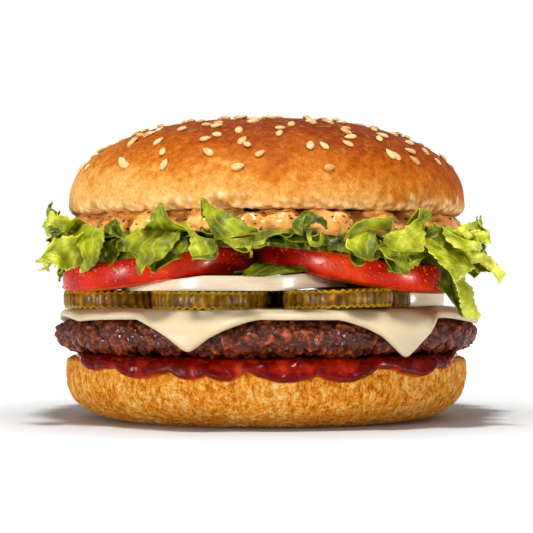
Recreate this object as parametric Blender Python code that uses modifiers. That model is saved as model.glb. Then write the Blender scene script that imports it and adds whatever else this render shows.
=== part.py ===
"""A large cheeseburger: heel, ketchup, patty, cheese, pickles, onion, tomato, lettuce, herb sauce and seeded crown.

Sizes are in millimetres and turned into metres where a mesh is made. The burger stands on the flat of its
heel with +Z up and its front towards -Y. An azimuth is measured from the front, positive towards +X.
"""

import math
import random

import bmesh
import bpy
from mathutils import Quaternion, Vector, noise

MM = 0.001
GAP = 0.3  # clear space between one piece and the next
EDGE_SHARE = 0.3  # how much of a slice's half thickness its rounded edge takes

# Buns
HEEL_RADIUS = 57.5
HEEL_FOOT_RADIUS = 40.0
HEEL_HEIGHT = 17.4
HEEL_SIDE_HEIGHT = 13.0  # where its rounded foot has become the upright side
HEEL_CORNER = 1.2
CROWN_RADIUS = 57.0
CROWN_BASE = 58.0
CROWN_RISE = 27.5
CROWN_FULLNESS = 2.25
CROWN_BULGE_HEIGHT = 3.6
CROWN_TUCK = 1.1

# Sesame seeds: a sunflower spread over the crown, thinner towards the rim
SEED_COUNT = 108
SEED_STRIDE = 2  # of the real number of seeds, every second one is fused on
SEED_LENGTH = 3.3
SEED_WIDTH = 2.2
SEED_DEPTH = 1.3
SEED_TURN = math.radians(137.508)
SEED_SPREAD = 55.0
SEED_JITTER = 2.2
SEED_RANDOM = 41

# Patty and cheese
PATTY_RADIUS = 61.0
PATTY_MIDDLE = 24.3
PATTY_HALF = 5.0
PATTY_EDGE = 9.0
PATTY_CRAG = 1.3
CHEESE_SHOULDER = 53.0
CHEESE_CLEAR_RADIUS = 63.4
CHEESE_THICKNESS = 1.5
# Each corner of the two crossed slices: azimuth, how far it reaches past the shoulder, half its width
CHEESE_CORNERS = (
    (-18.5, 17.6, 17.0),
    (35.0, 19.4, 17.0),
    (71.0, 9.0, 17.0),
    (118.0, 16.5, 18.0),
    (161.0, 10.0, 16.0),
    (-149.0, 17.5, 18.0),
    (-104.0, 9.0, 16.0),
    (-57.0, 7.0, 16.0),
)
CHEESE_EDGE = 5.4

# Round slices: centre x and y, radius
PICKLES = {
    "pickle_left": (-41.0, -18.0, 15.6),
    "pickle_front_left": (-15.0, -38.5, 15.8),
    "pickle_front_right": (19.2, -40.0, 14.6),
    "pickle_right": (26.5, -11.2, 14.2),
    "pickle_back_left": (-36.0, 18.0, 15.2),
    "pickle_back": (-7.0, 40.5, 15.2),
}
PICKLE_BASE = 31.8
PICKLE_THICKNESS = 4.2
PICKLE_TILT = {"pickle_front_right": 0.035, "pickle_left": 0.004}
ONION_FRONT = (-9.0, -18.5, 31.5)
ONION_BACK = (-9.0, 34.0, 18.5)
ONION_RIGHT = (35.5, 21.0, 18.0)
ONION_THICKNESS = 4.1
ONION_LEVEL = 36.4  # the front and back onion slices lie on the pickles
TOMATO_LEFT = (-29.4, -21.0, 26.5)
TOMATO_RIGHT = (25.5, -21.0, 27.9)
TOMATO_BACK_LEFT = (-23.5, 27.5, 20.5)
TOMATO_BACK_RIGHT = (23.5, 28.0, 20.0)
TOMATO_OUTER_LEVEL = 36.4
TOMATO_THICKNESS = 7.0
TOMATO_THIN_SIDE = 6.4
TOMATO_BACK_LIFT = 4.8  # how far the back slices climb to lie on the onion in the middle

# Lettuce: two layers of frilled leaves, and ruffled ones between the lower of them and the tomatoes
LEAF_THICKNESS = 0.6
LEAF_INNER_RADIUS = 30.0
LOW_LAYER = 50.3
HIGH_LAYER = 51.5
RUFFLE_INNER_RADIUS = 44.0
RUFFLE_RADIUS = 54.5
RUFFLE_CLEAR = 1.4  # how far a ruffle's crests stay from the leaf above and the tomato below

# Sauces
SAUCE_BASE = 52.3
SAUCE_RADIUS = 54.6
KETCHUP_THICKNESS = 1.2
KETCHUP_LIFT = 0.45  # its clear space over the heel's top
KETCHUP_START = -12.0
KETCHUP_EDGE = 2.4  # how far it runs past the heel's top between the lobes, and how far short at the sides
KETCHUP_RETREAT = -1.5
# Each lobe at the front, repeated at the back: azimuth, how far it runs, half its width
KETCHUP_LOBES = (
    (-52.0, 3.2, 9.0),
    (-34.6, 4.8, 10.0),
    (-20.4, 5.0, 6.0),
    (-11.4, 5.0, 6.0),
    (5.1, 5.4, 10.0),
    (20.9, 5.8, 9.0),
    (43.5, 4.6, 8.0),
    (55.0, 3.2, 5.0),
)


def smooth(t):
    """0 below 0, 1 above 1, and an even slope between."""
    t = min(1.0, max(0.0, t))
    return t * t * (3 - 2 * t)


def lumps(x, y, z, size, seed=0.0):
    """Smooth noise from about -1 to 1 whose bumps are this many millimetres apart."""
    return noise.noise(Vector((x / size + seed, y / size - seed, z / size)))


def ring_lumps(azimuth, count, seed):
    """Smooth noise round a ring, with about this many bumps in a turn."""
    reach = count / math.tau
    return noise.noise(Vector((reach * math.cos(azimuth) + seed, reach * math.sin(azimuth), seed)))


def superellipse(angle, fullness):
    """The sine and cosine of a squarer circle."""
    return (
        math.copysign(abs(math.sin(angle)) ** (2 / fullness), math.sin(angle)),
        math.copysign(abs(math.cos(angle)) ** (2 / fullness), math.cos(angle)),
    )


def clear_scene():
    for obj in list(bpy.data.objects):
        bpy.data.objects.remove(obj)


def collection(name):
    made = bpy.data.collections.new(name)
    bpy.context.scene.collection.children.link(made)
    return made


def finish(name, colour, roughness):
    """A Principled material of this colour."""
    material = bpy.data.materials.new(name)
    material.use_nodes = True
    shader = material.node_tree.nodes["Principled BSDF"]
    shader.inputs["Base Color"].default_value = (*colour, 1)
    shader.inputs["Roughness"].default_value = roughness
    shader.inputs["Metallic"].default_value = 0.0
    return material


def add_object(name, mesh, home, material=None):
    obj = bpy.data.objects.new(name, mesh)
    home.objects.link(obj)
    if material:
        mesh.materials.append(material)
    return obj


def bake(obj):
    """Replaces the object's mesh with what its modifiers make of it."""
    graph = bpy.context.evaluated_depsgraph_get()
    mesh = bpy.data.meshes.new_from_object(obj.evaluated_get(graph))
    obj.modifiers.clear()
    obj.data = mesh
    return mesh


def turned(name, profile, steps, home, material):
    """A solid turned round Z from (radius, height) points that run from the top of the axis to its foot."""
    mesh = bpy.data.meshes.new(name)
    rows = bmesh.new()
    points = [rows.verts.new((r * MM, 0, z * MM)) for r, z in profile]
    for a, b in zip(points, points[1:]):
        rows.edges.new((a, b))
    rows.to_mesh(mesh)
    rows.free()
    obj = add_object(name, mesh, home, material)
    screw = obj.modifiers.new("turn", "SCREW")
    screw.steps = screw.render_steps = steps
    screw.use_merge_vertices = True
    screw.merge_threshold = 0.00001
    screw.use_smooth_shade = True
    bake(obj)
    return obj


def move_points(obj, place):
    """Moves each vertex to place(x, y, z), all in millimetres."""
    for vertex in obj.data.vertices:
        vertex.co = Vector(place(*(vertex.co / MM))) * MM
    obj.data.update()


def slab_profile(radius, thickness, edge, rings=0):
    """Half the section of a round slice with its edges taken off, from the top of its axis to the foot."""
    half = thickness / 2
    shoulder = radius - edge
    top = [(shoulder * ring / (rings + 1), half) for ring in range(rings + 2)]
    upper = top + [(radius, half * (1 - EDGE_SHARE))]
    return upper + [(r, -z) for r, z in reversed(upper)]


def sheet(name, columns, rows, place, thickness, home, material):
    """A thin curved sheet: place(u, v) gives its middle in millimetres, with u and v from 0 to 1."""
    mesh = bpy.data.meshes.new(name)
    grid = bmesh.new()
    bmesh.ops.create_grid(grid, x_segments=columns, y_segments=rows, size=0.5)
    for vertex in grid.verts:
        vertex.co = Vector(place(vertex.co.x + 0.5, vertex.co.y + 0.5)) * MM
    bmesh.ops.triangulate(grid, faces=grid.faces[:])
    grid.to_mesh(mesh)
    grid.free()
    obj = add_object(name, mesh, home, material)
    solid = obj.modifiers.new("thickness", "SOLIDIFY")
    solid.thickness = thickness * MM
    solid.offset = 0
    return obj


def draped(name, around, along, place, thickness, home, material):
    """A layer spread over a round piece: place(azimuth, share) gives its inner side, share 0 at the axis."""
    mesh = bpy.data.meshes.new(name)
    fan = bmesh.new()
    centre = fan.verts.new(Vector(place(0.0, 0.0)) * MM)
    rings = []
    for j in range(1, along + 1):
        ring = []
        for i in range(around):
            ring.append(fan.verts.new(Vector(place(math.tau * i / around, j / along)) * MM))
        rings.append(ring)
    for i in range(around):
        k = (i + 1) % around
        fan.faces.new((centre, rings[0][i], rings[0][k]))
        for inner, outer in zip(rings, rings[1:]):
            fan.faces.new((inner[i], outer[i], outer[k], inner[k]))
    bmesh.ops.triangulate(fan, faces=fan.faces[:])
    fan.to_mesh(mesh)
    fan.free()
    obj = add_object(name, mesh, home, material)
    solid = obj.modifiers.new("thickness", "SOLIDIFY")
    solid.thickness = thickness * MM
    solid.offset = 1
    return obj


def at(azimuth, radius, height):
    """The point at this azimuth from the front, in radians."""
    return (radius * math.sin(azimuth), -radius * math.cos(azimuth), height)


# Buns


def heel_side(turn):
    """The heel's side from its foot, at 0, to where it stands upright, at 1."""
    s, c = superellipse(turn * math.pi / 2, 2.3)
    return HEEL_FOOT_RADIUS + (HEEL_RADIUS - HEEL_FOOT_RADIUS) * s, HEEL_SIDE_HEIGHT * (1 - c)


def make_heel(home, material):
    rim = [(0, HEEL_HEIGHT), (HEEL_RADIUS - HEEL_CORNER, HEEL_HEIGHT), (HEEL_RADIUS, HEEL_HEIGHT - HEEL_CORNER)]
    side = [heel_side(1 - i / 5) for i in range(6)]
    heel = turned("bun_bottom", rim + side + [(0, 0)], 42, home, material)

    def uneven(x, y, z):
        turn = math.atan2(x, -y)
        swell = 1 + 0.006 * ring_lumps(turn, 9, 3.0) * smooth(z / 6)
        return x * swell, y * swell, z

    move_points(heel, uneven)
    return heel


def crown_point(polar, azimuth):
    """A point of the crown's top: polar is 0 at the peak and 1 where the dome is widest."""
    s, c = superellipse(polar * math.pi / 2, CROWN_FULLNESS)
    widest = CROWN_BASE + CROWN_BULGE_HEIGHT
    height = widest + (CROWN_RISE - CROWN_BULGE_HEIGHT) * c
    return crown_uneven(*at(azimuth, CROWN_RADIUS * s, height))


def crown_uneven(x, y, z):
    """The crown's gentle swells, and the slight droop of its rim at the two sides."""
    turn = math.atan2(x, -y)
    lift = smooth((z - CROWN_BASE) / 10)
    swell = 1 + 0.007 * ring_lumps(turn, 7, 8.0) * lift
    return x * swell, y * swell, z + 0.5 * lumps(x, y, 0, 34, 5.0) * lift


def make_crown(home, material):
    dome = []
    for i in range(9):
        s, c = superellipse(math.pi / 2 * i / 8, CROWN_FULLNESS)
        widest = CROWN_BASE + CROWN_BULGE_HEIGHT
        dome.append((CROWN_RADIUS * s, widest + (CROWN_RISE - CROWN_BULGE_HEIGHT) * c))
    rim = [
        (CROWN_RADIUS - 0.25, CROWN_BASE + 1.6),
        (CROWN_RADIUS - CROWN_TUCK, CROWN_BASE + 0.3),
        (CROWN_RADIUS - CROWN_TUCK - 1.5, CROWN_BASE),
    ]
    crown = turned("bun_top", dome + rim + [(0, CROWN_BASE)], 42, home, material)
    move_points(crown, crown_uneven)
    return crown


def seed_places():
    """Each seed's polar share, azimuth and turn in its own plane."""
    places = []
    for i in range(0, SEED_COUNT, SEED_STRIDE):
        draw = random.Random(SEED_RANDOM + i)
        share = (i + 0.5) / SEED_COUNT
        reach = SEED_SPREAD * share**0.56 + draw.uniform(-SEED_JITTER, SEED_JITTER)
        turn = i * SEED_TURN + draw.uniform(-0.16, 0.16)
        spin = draw.uniform(0, math.pi)
        polar = math.asin(min(1.0, (max(0.0, reach) / CROWN_RADIUS) ** (CROWN_FULLNESS / 2))) * 2 / math.pi
        places.append((polar, turn, spin))
    return places


def add_seed(home, polar, azimuth, spin):
    """One low-sided seed that lies on the crown, about half sunk in it."""
    bpy.ops.mesh.primitive_uv_sphere_add(segments=5, ring_count=3, radius=0.5)
    seed = bpy.context.active_object
    seed.name = "seed"
    for holder in list(seed.users_collection):
        holder.objects.unlink(seed)
    home.objects.link(seed)
    point = Vector(crown_point(polar, azimuth))
    step = 0.01
    outward = Vector(crown_point(polar + step, azimuth)) - point
    across = Vector(crown_point(polar, azimuth + step)) - point
    if across.length < 1e-6:
        across = Vector((0, 1, 0))
    normal = outward.cross(across).normalized()
    if normal.z < 0:
        normal = -normal
    seed.rotation_mode = "QUATERNION"
    seed.rotation_quaternion = normal.to_track_quat("Z", "Y") @ Quaternion((0, 0, 1), spin)
    seed.scale = Vector((SEED_LENGTH, SEED_WIDTH, SEED_DEPTH)) * MM
    seed.location = (point + normal * 0.2) * MM
    return seed


def join_seeds(crown):
    """Fuses the seeds to the crown with one union."""
    seeds = collection("seeds")
    for place in seed_places():
        add_seed(seeds, *place)
    union = crown.modifiers.new("seeds", "BOOLEAN")
    union.operation = "UNION"
    union.operand_type = "COLLECTION"
    union.collection = seeds
    union.solver = "EXACT"
    bpy.context.view_layer.update()
    bake(crown)
    for seed in list(seeds.objects):
        bpy.data.objects.remove(seed)
    bpy.data.collections.remove(seeds)


# Ketchup, patty and cheese


def heel_outside(run):
    """The skin over the heel that the ketchup lies on, by the distance run past the edge of its top."""
    slope = HEEL_CORNER * math.sqrt(2)
    share = min(1.0, max(0.0, run / slope))
    radius = HEEL_RADIUS - HEEL_CORNER + (HEEL_CORNER + 3 * GAP) * share + min(run, 0.0)
    return radius, HEEL_HEIGHT + KETCHUP_LIFT - HEEL_CORNER * share - max(run - slope, 0.0)


def ketchup_reach(azimuth):
    """How far the ketchup runs past the edge of the heel's top: in lobes, and short of it at the two sides."""
    lobes = 0.0
    for place, depth, width in KETCHUP_LOBES:
        away = abs((math.degrees(azimuth) - place + 90) % 180 - 90)
        lobes = max(lobes, (depth - KETCHUP_EDGE) * (1 - (away / width) ** 2))
    side = smooth((abs(math.sin(azimuth)) - 0.83) / 0.16)
    return (KETCHUP_EDGE + lobes) * (1 - side) + KETCHUP_RETREAT * side


def make_ketchup(home, material):
    def place(azimuth, share):
        reach = ketchup_reach(azimuth)
        runs = (
            HEEL_CORNER - HEEL_RADIUS,
            KETCHUP_START,
            min(0.0, reach - 1.0),
            min(HEEL_CORNER * math.sqrt(2), reach - 0.5),
            reach,
        )
        return at(azimuth, *heel_outside(runs[round(share * (len(runs) - 1))]))

    return draped("ketchup", 54, 4, place, KETCHUP_THICKNESS, home, material)


def make_patty(home, material):
    profile = [(0, PATTY_HALF), (30, PATTY_HALF)]
    for i in range(8):
        s, c = superellipse(math.pi * i / 7, 2.3)
        profile.append((PATTY_RADIUS - PATTY_EDGE + PATTY_EDGE * s, PATTY_HALF * c))
    patty = turned("patty", profile + [(0, -PATTY_HALF)], 50, home, material)

    def craggy(x, y, z):
        radius = math.hypot(x, y)
        turn = math.atan2(x, -y)
        rim = smooth((radius - 46) / 10)
        crag = PATTY_CRAG * lumps(x, y, z * 2, 7, 1.0) + 0.5 * ring_lumps(turn, 8, 6.0)
        grown = radius + rim * crag
        scale = grown / radius if radius else 1.0
        lift = 0.28 * lumps(x, y, z, 9, 4.0) * math.copysign(1, z) * smooth(abs(z) / 3)
        return x * scale, y * scale, PATTY_MIDDLE + z + lift

    move_points(patty, craggy)
    return patty


def patty_outside(run):
    """The smooth skin over the patty that the cheese lies on, by the distance run past its shoulder."""
    reach = CHEESE_CLEAR_RADIUS - CHEESE_SHOULDER
    height = PATTY_HALF + 3 * GAP
    if run <= 0:
        return CHEESE_SHOULDER + run, PATTY_MIDDLE + height
    quarter = math.pi / 2 * math.sqrt((reach**2 + height**2) / 2)
    if run < quarter:
        angle = math.pi / 2 * run / quarter
        return CHEESE_SHOULDER + reach * math.sin(angle), PATTY_MIDDLE + height * math.cos(angle)
    return CHEESE_CLEAR_RADIUS, PATTY_MIDDLE - (run - quarter)


def cheese_reach(azimuth):
    """How far the cheese reaches past the patty's shoulder: straight edges between hanging corners."""
    reach = CHEESE_EDGE + 0.5 * ring_lumps(azimuth, 10, 9.0)
    for corner, tip, width in CHEESE_CORNERS:
        away = abs((math.degrees(azimuth) - corner + 180) % 360 - 180)
        share = max(0.0, 1 - math.sqrt(away**2 + 1.2) / width)
        reach += (tip - CHEESE_EDGE) * share**1.25
    return reach


def make_cheese(home, material):
    def place(azimuth, share):
        flat = 1 / 5
        if share > flat:
            run = -6 + (share - flat) / (1 - flat) * (6 + cheese_reach(azimuth))
        else:
            run = -CHEESE_SHOULDER + share / flat * (CHEESE_SHOULDER - 6)
        radius, height = patty_outside(run)
        return at(azimuth, max(radius, 0.0), height)

    return draped("cheese", 56, 5, place, CHEESE_THICKNESS, home, material)


# Round slices


def make_pickle(name, home, material):
    x0, y0, radius = PICKLES[name]
    tilt = PICKLE_TILT.get(name, 0.0)
    profile = slab_profile(radius, PICKLE_THICKNESS, 0.6)
    pickle = turned(name, profile, 20, home, material)

    def place(x, y, z):
        base = PICKLE_BASE + PICKLE_THICKNESS / 2 + tilt * (x + radius)
        wobble = 1 + 0.03 * ring_lumps(math.atan2(y, x), 6, x0)
        return x0 + x * wobble, y0 + y * wobble, base + z

    move_points(pickle, place)
    return pickle


def left_tomato_foot(x):
    """The underside of the left tomato slice: low outside, and leaning up towards the middle."""
    return TOMATO_OUTER_LEVEL + 5.3 * smooth((x + 58) / 56)


def right_tomato_foot(x):
    """The underside of the right tomato slice, which bends down from the middle to the side."""
    return TOMATO_OUTER_LEVEL + 8.0 * (1 - smooth((x + 14) / 60))


def back_left_tomato_foot(x):
    """The back slices lie on the pickles at their outer sides and on the onion in the middle."""
    return TOMATO_OUTER_LEVEL + TOMATO_BACK_LIFT * smooth((x + 40) / 16)


def back_right_tomato_foot(x):
    return TOMATO_OUTER_LEVEL + TOMATO_BACK_LIFT * (1 - smooth((x - 4) / 16))


def make_tomato(name, slice_of, foot, home, material):
    """A slice that follows what it lies on, a little thinner on its side towards the middle."""
    x0, y0, radius = slice_of
    profile = slab_profile(radius, 1.0, 1.0, rings=1)
    tomato = turned(name, profile, 24, home, material)

    def place(x, y, z):
        outward = (1 + math.copysign(x / radius, x * x0)) / 2
        thickness = TOMATO_THIN_SIDE + (TOMATO_THICKNESS - TOMATO_THIN_SIDE) * outward
        wobble = 1 + 0.012 * ring_lumps(math.atan2(y, x), 5, x0)
        px = x0 + x * wobble
        return px, y0 + y * wobble, foot(px) + (z + 0.5) * thickness

    move_points(tomato, place)
    return tomato


def front_onion_foot(x):
    """The underside of the front onion slice, which sags between the pickles."""
    return ONION_LEVEL + 1.0 * smooth((x - 1) / 16)


def make_onion(name, slice_of, foot, roof, home, material):
    """A round slice of onion, thinner where the tomato on it presses it down."""
    x0, y0, radius = slice_of
    profile = slab_profile(radius, 1.0, 0.8, rings=1)
    onion = turned(name, profile, 24, home, material)

    def place(x, y, z):
        px, py = x0 + x, y0 + y
        low = foot(px)
        high = min(low + ONION_THICKNESS, roof(px) - GAP)
        return px, py, low + (z + 0.5) * (high - low)

    move_points(onion, place)
    return onion


def front_onion_roof(x):
    """What lies on the front onion slice: the two tomato slices that lean together over it."""
    left = left_tomato_foot(x)
    right = right_tomato_foot(x)
    return left + (right - left) * smooth((x + 3.5) / 4)


def back_onion_roof(x):
    """The slices over the back one, each read a little further out, where it hangs lower."""
    return min(back_left_tomato_foot(x - 3), back_right_tomato_foot(x + 3))


# Lettuce


# The frilled edge of each leaf, from left to right: azimuth in degrees, reach and height of each crest and tip.
# "layer" is the height of the leaf inside the burger, "rise" the radius where it starts to climb or hang.
LEAVES = {
    "lettuce_left_high": {
        "layer": HIGH_LAYER,
        "rise": 57.5,
        "inside": (-106, -62),
        "edge": (
            (-107, 62, 54.0),
            (-99, 64, 50.5),
            (-92, 61, 56.5),
            (-86, 64, 53.0),
            (-80, 61, 57.2),
            (-76, 63, 58.4),
            (-74, 66, 54.2),
            (-71, 64, 52.2),
            (-66, 62, 53.0),
            (-59, 60, 56.0),
        ),
    },
    "lettuce_left_low": {
        "layer": LOW_LAYER,
        "rise": 59.0,
        "inside": (-82, -46),
        "edge": (
            (-84, 62, 46.5),
            (-76, 64, 50.0),
            (-70, 67, 47.6),
            (-66, 69, 44.8),
            (-62, 68, 41.9),
            (-58, 65, 44.2),
            (-52, 64, 41.2),
            (-48, 62, 45.2),
            (-44, 61, 49.0),
        ),
    },
    "lettuce_front_left_low": {
        "layer": LOW_LAYER,
        "rise": 57.0,
        "inside": (-44, -15),
        "edge": (
            (-43, 62, 46.5),
            (-39, 64, 43.4),
            (-36, 63, 48.5),
            (-33, 65, 46.0),
            (-30, 66, 40.8),
            (-26, 65, 44.2),
            (-22, 63, 47.8),
            (-17, 65, 45.2),
            (-13, 64, 46.5),
        ),
    },
    "lettuce_front_left_high": {
        "layer": HIGH_LAYER,
        "rise": 58.0,
        "inside": (-58, -19),
        "edge": (
            (-55, 62, 55.5),
            (-50, 65, 51.0),
            (-44, 63, 54.6),
            (-38, 63, 53.2),
            (-33, 64, 51.5),
            (-29, 62, 54.5),
            (-26.3, 62, 59.0),
            (-23, 63, 54.8),
            (-19, 65, 50.8),
        ),
    },
    "lettuce_front_low": {
        "layer": LOW_LAYER,
        "rise": 57.0,
        "inside": (-13, 14),
        "edge": (
            (-11, 64, 49.2),
            (-7, 65, 48.0),
            (-3.5, 66, 45.6),
            (0, 64, 48.6),
            (5, 63, 49.6),
            (10, 65, 47.8),
            (13, 64, 49.2),
        ),
    },
    "lettuce_front_high": {
        "layer": HIGH_LAYER,
        "rise": 58.0,
        "inside": (-17, 14),
        "edge": (
            (-16, 62, 59.2),
            (-13, 65, 53.5),
            (-11, 66, 51.2),
            (-7, 64, 53.8),
            (-2, 63, 52.0),
            (3, 64, 51.6),
            (7, 62, 55.0),
            (10, 62, 56.6),
            (13.5, 64, 52.5),
        ),
    },
    "lettuce_front_right_low": {
        "layer": LOW_LAYER,
        "rise": 59.5,
        "inside": (16, 43),
        "edge": (
            (16, 63, 48.2),
            (20, 65, 45.6),
            (23.5, 67, 44.0),
            (27, 65, 47.2),
            (31, 66, 44.6),
            (34.5, 67, 40.6),
            (39, 66, 43.6),
            (43, 64, 47.5),
        ),
    },
    "lettuce_front_right_high": {
        "layer": HIGH_LAYER,
        "rise": 58.0,
        "inside": (17, 44),
        "edge": (
            (16, 63, 52.2),
            (20, 64, 54.6),
            (24, 66, 50.8),
            (28, 63, 54.8),
            (32, 66, 50.4),
            (36, 66, 52.0),
            (41, 62, 57.6),
            (44, 65, 52.4),
        ),
    },
    "lettuce_right_high": {
        "layer": HIGH_LAYER,
        "rise": 58.5,
        "inside": (47, 98),
        "edge": (
            (47, 62, 54.2),
            (52, 69, 55.0),
            (55, 75, 51.6),
            (57, 70, 48.6),
            (62, 72, 45.0),
            (67, 71, 42.4),
            (70, 68, 48.0),
            (77, 64, 54.5),
            (84, 66, 50.0),
            (91, 63, 55.5),
            (98, 65, 51.5),
        ),
    },
    "lettuce_right_low": {
        "layer": LOW_LAYER,
        "rise": 61.5,
        "inside": (46, 55),
        "edge": (
            (45, 63, 45.6),
            (47, 66, 40.0),
            (49.5, 69, 34.0),
            (52.5, 70, 29.6),
            (53, 70.5, 35.0),
            (53.5, 69, 41.0),
            (55.5, 66, 46.0),
        ),
    },
}
# The leaves at the back, which the photograph doesn't show: layer, first and last azimuth, and crests
BACK_LEAVES = {
    "lettuce_back_left_high": (HIGH_LAYER, 109, 164, 4),
    "lettuce_back_right_high": (HIGH_LAYER, 172, 244, 5),
    "lettuce_back_left_low": (LOW_LAYER, 74, 150, 4),
    "lettuce_back_right_low": (LOW_LAYER, 158, 270, 5),
}
BACK_RISE = 58.5
LEAF_CREST = 5.4  # how far a frill's crest stands over the leaf's layer, and its trough below a low one's
LEAF_RANDOM = 7
# The ruffled leaves: the undersides of the tomato slices below, first and last azimuth, and crests
RUFFLES = {
    "lettuce_middle_left": ((left_tomato_foot, back_left_tomato_foot), -160, -12, 7),
    "lettuce_middle_right": ((right_tomato_foot, back_right_tomato_foot), 18, 158, 7),
}


def frilled(layer, first, last, crests, draw):
    """A leaf whose edge goes up and down from crest to trough; a low leaf hangs over the tomato instead."""
    edge = []
    for i in range(2 * crests + 1):
        azimuth = first + (last - first) * (i + draw.uniform(-0.25, 0.25)) / (2 * crests)
        crest = i % 2
        if layer == HIGH_LAYER:
            height = layer + (LEAF_CREST if crest else -0.6) + draw.uniform(-1.0, 0.8)
        else:
            height = layer - (3.4 if crest else 3.4 + LEAF_CREST) + draw.uniform(-1.0, 1.0)
        edge.append((azimuth, (62.8 if crest else 66.8) + draw.uniform(-0.8, 0.8), height))
    return {"layer": layer, "rise": BACK_RISE, "inside": (first, last), "edge": tuple(edge)}


def add_back_leaves():
    draw = random.Random(LEAF_RANDOM)
    for name, (layer, first, last, crests) in BACK_LEAVES.items():
        LEAVES[name] = frilled(layer, first, last, crests, draw)


def through(rows, share):
    """A point on the smooth curve through the rows, at this share of the way."""
    spans = len(rows) - 1
    along = min(share, 0.999999) * spans
    i = int(along)
    t = along - i
    before, start, end, after = (rows[min(max(i + k, 0), spans)] for k in (-1, 0, 1, 2))
    return [
        0.5
        * (
            2 * b
            + (c - a) * t
            + (2 * a - 5 * b + 4 * c - d) * t * t
            + (3 * b - a - 3 * c + d) * t**3
        )
        for a, b, c, d in zip(before, start, end, after)
    ]


def leaf_point(leaf, u, v):
    """The middle of a leaf's sheet: u runs along its edge, v from inside the burger out to the edge."""
    edge_azimuth, reach, height = through(leaf["edge"], u)
    first, last = leaf["inside"]
    inner_azimuth = first + (last - first) * u
    radius = LEAF_INNER_RADIUS + (reach - LEAF_INNER_RADIUS) * v
    climb = smooth((radius - leaf["rise"] + 2) / (reach - leaf["rise"] + 2))
    azimuth = inner_azimuth + (edge_azimuth - inner_azimuth) * v
    return at(math.radians(azimuth), radius, leaf["layer"] + (height - leaf["layer"]) * climb)


def leaf_rows(leaf):
    """Shares from the inside to the edge: one long flat stretch, then closer rows where the leaf climbs."""
    flat = (leaf["rise"] - 3 - LEAF_INNER_RADIUS) / (66 - LEAF_INNER_RADIUS)
    return (0.0, flat, flat + (1 - flat) * 0.5, 1.0)


def make_leaf(name, home, material):
    leaf = LEAVES[name]
    shares = leaf_rows(leaf)
    spans = len(leaf["edge"]) - 1
    columns = round(spans * (1.5 if "back" in name else 2))

    def place(u, v):
        return leaf_point(leaf, u, shares[round(v * (len(shares) - 1))])

    return sheet(name, columns, len(shares) - 1, place, LEAF_THICKNESS, home, material)


def make_ruffle(name, home, material):
    """A leaf that waves up and down between the tomato slices and the lower leaves, and fills the space there."""
    feet, first, last, crests = RUFFLES[name]

    def place(u, v):
        azimuth = math.radians(first + (last - first) * u)
        radius = RUFFLE_INNER_RADIUS + (RUFFLE_RADIUS - RUFFLE_INNER_RADIUS) * v
        high = LOW_LAYER - RUFFLE_CLEAR
        floor = max(foot(radius * math.sin(azimuth)) for foot in feet)
        low = min(floor + TOMATO_THICKNESS + RUFFLE_CLEAR, high)
        wave = math.sin(math.tau * crests * u)
        return at(azimuth, radius, (low + high) / 2 + wave * (high - low) / 2)

    return sheet(name, 4 * crests, 1, place, LEAF_THICKNESS, home, material)


def make_leaf_scrap(home, material):
    """The fold of leaf that shows between the two tomato slices, lying on the onion."""

    def place(u, v):
        x = -6.0 + 12.5 * u
        y = -46 + 20 * v
        floor = min(front_onion_foot(x) + ONION_THICKNESS, front_onion_roof(x) - GAP)
        middle = (floor + front_onion_roof(x)) / 2
        return x, y, middle

    return sheet("lettuce_inner", 6, 3, place, 0.45, home, material)


# Herb sauce


def sauce_edge(azimuth):
    """How far the sauce bulges out from under the crown."""
    return SAUCE_RADIUS + 1.1 * math.sin(7 * azimuth + 0.8) + 1.5 * ring_lumps(azimuth, 19, 12.0)


def make_sauce(home, material):
    top = CROWN_BASE - GAP
    middle = (top + SAUCE_BASE) / 2
    half = (top - SAUCE_BASE) / 2
    profile = [(0, half), (SAUCE_RADIUS - 9, half)]
    for i in range(4):
        s, c = superellipse(math.pi * (0.12 + 0.76 * i / 3), 2.2)
        profile.append((SAUCE_RADIUS - 5 + 5 * s, half * c))
    profile += [(SAUCE_RADIUS - 9, -half), (0, -half)]
    sauce = turned("sauce", profile, 46, home, material)

    def bulge(x, y, z):
        radius = math.hypot(x, y)
        turn = math.atan2(x, -y)
        grown = radius * (1 + (sauce_edge(turn) / SAUCE_RADIUS - 1) * smooth((radius - 30) / 20))
        scale = grown / radius if radius else 1.0
        return x * scale, y * scale, middle + z

    move_points(sauce, bulge)
    return sauce


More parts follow.
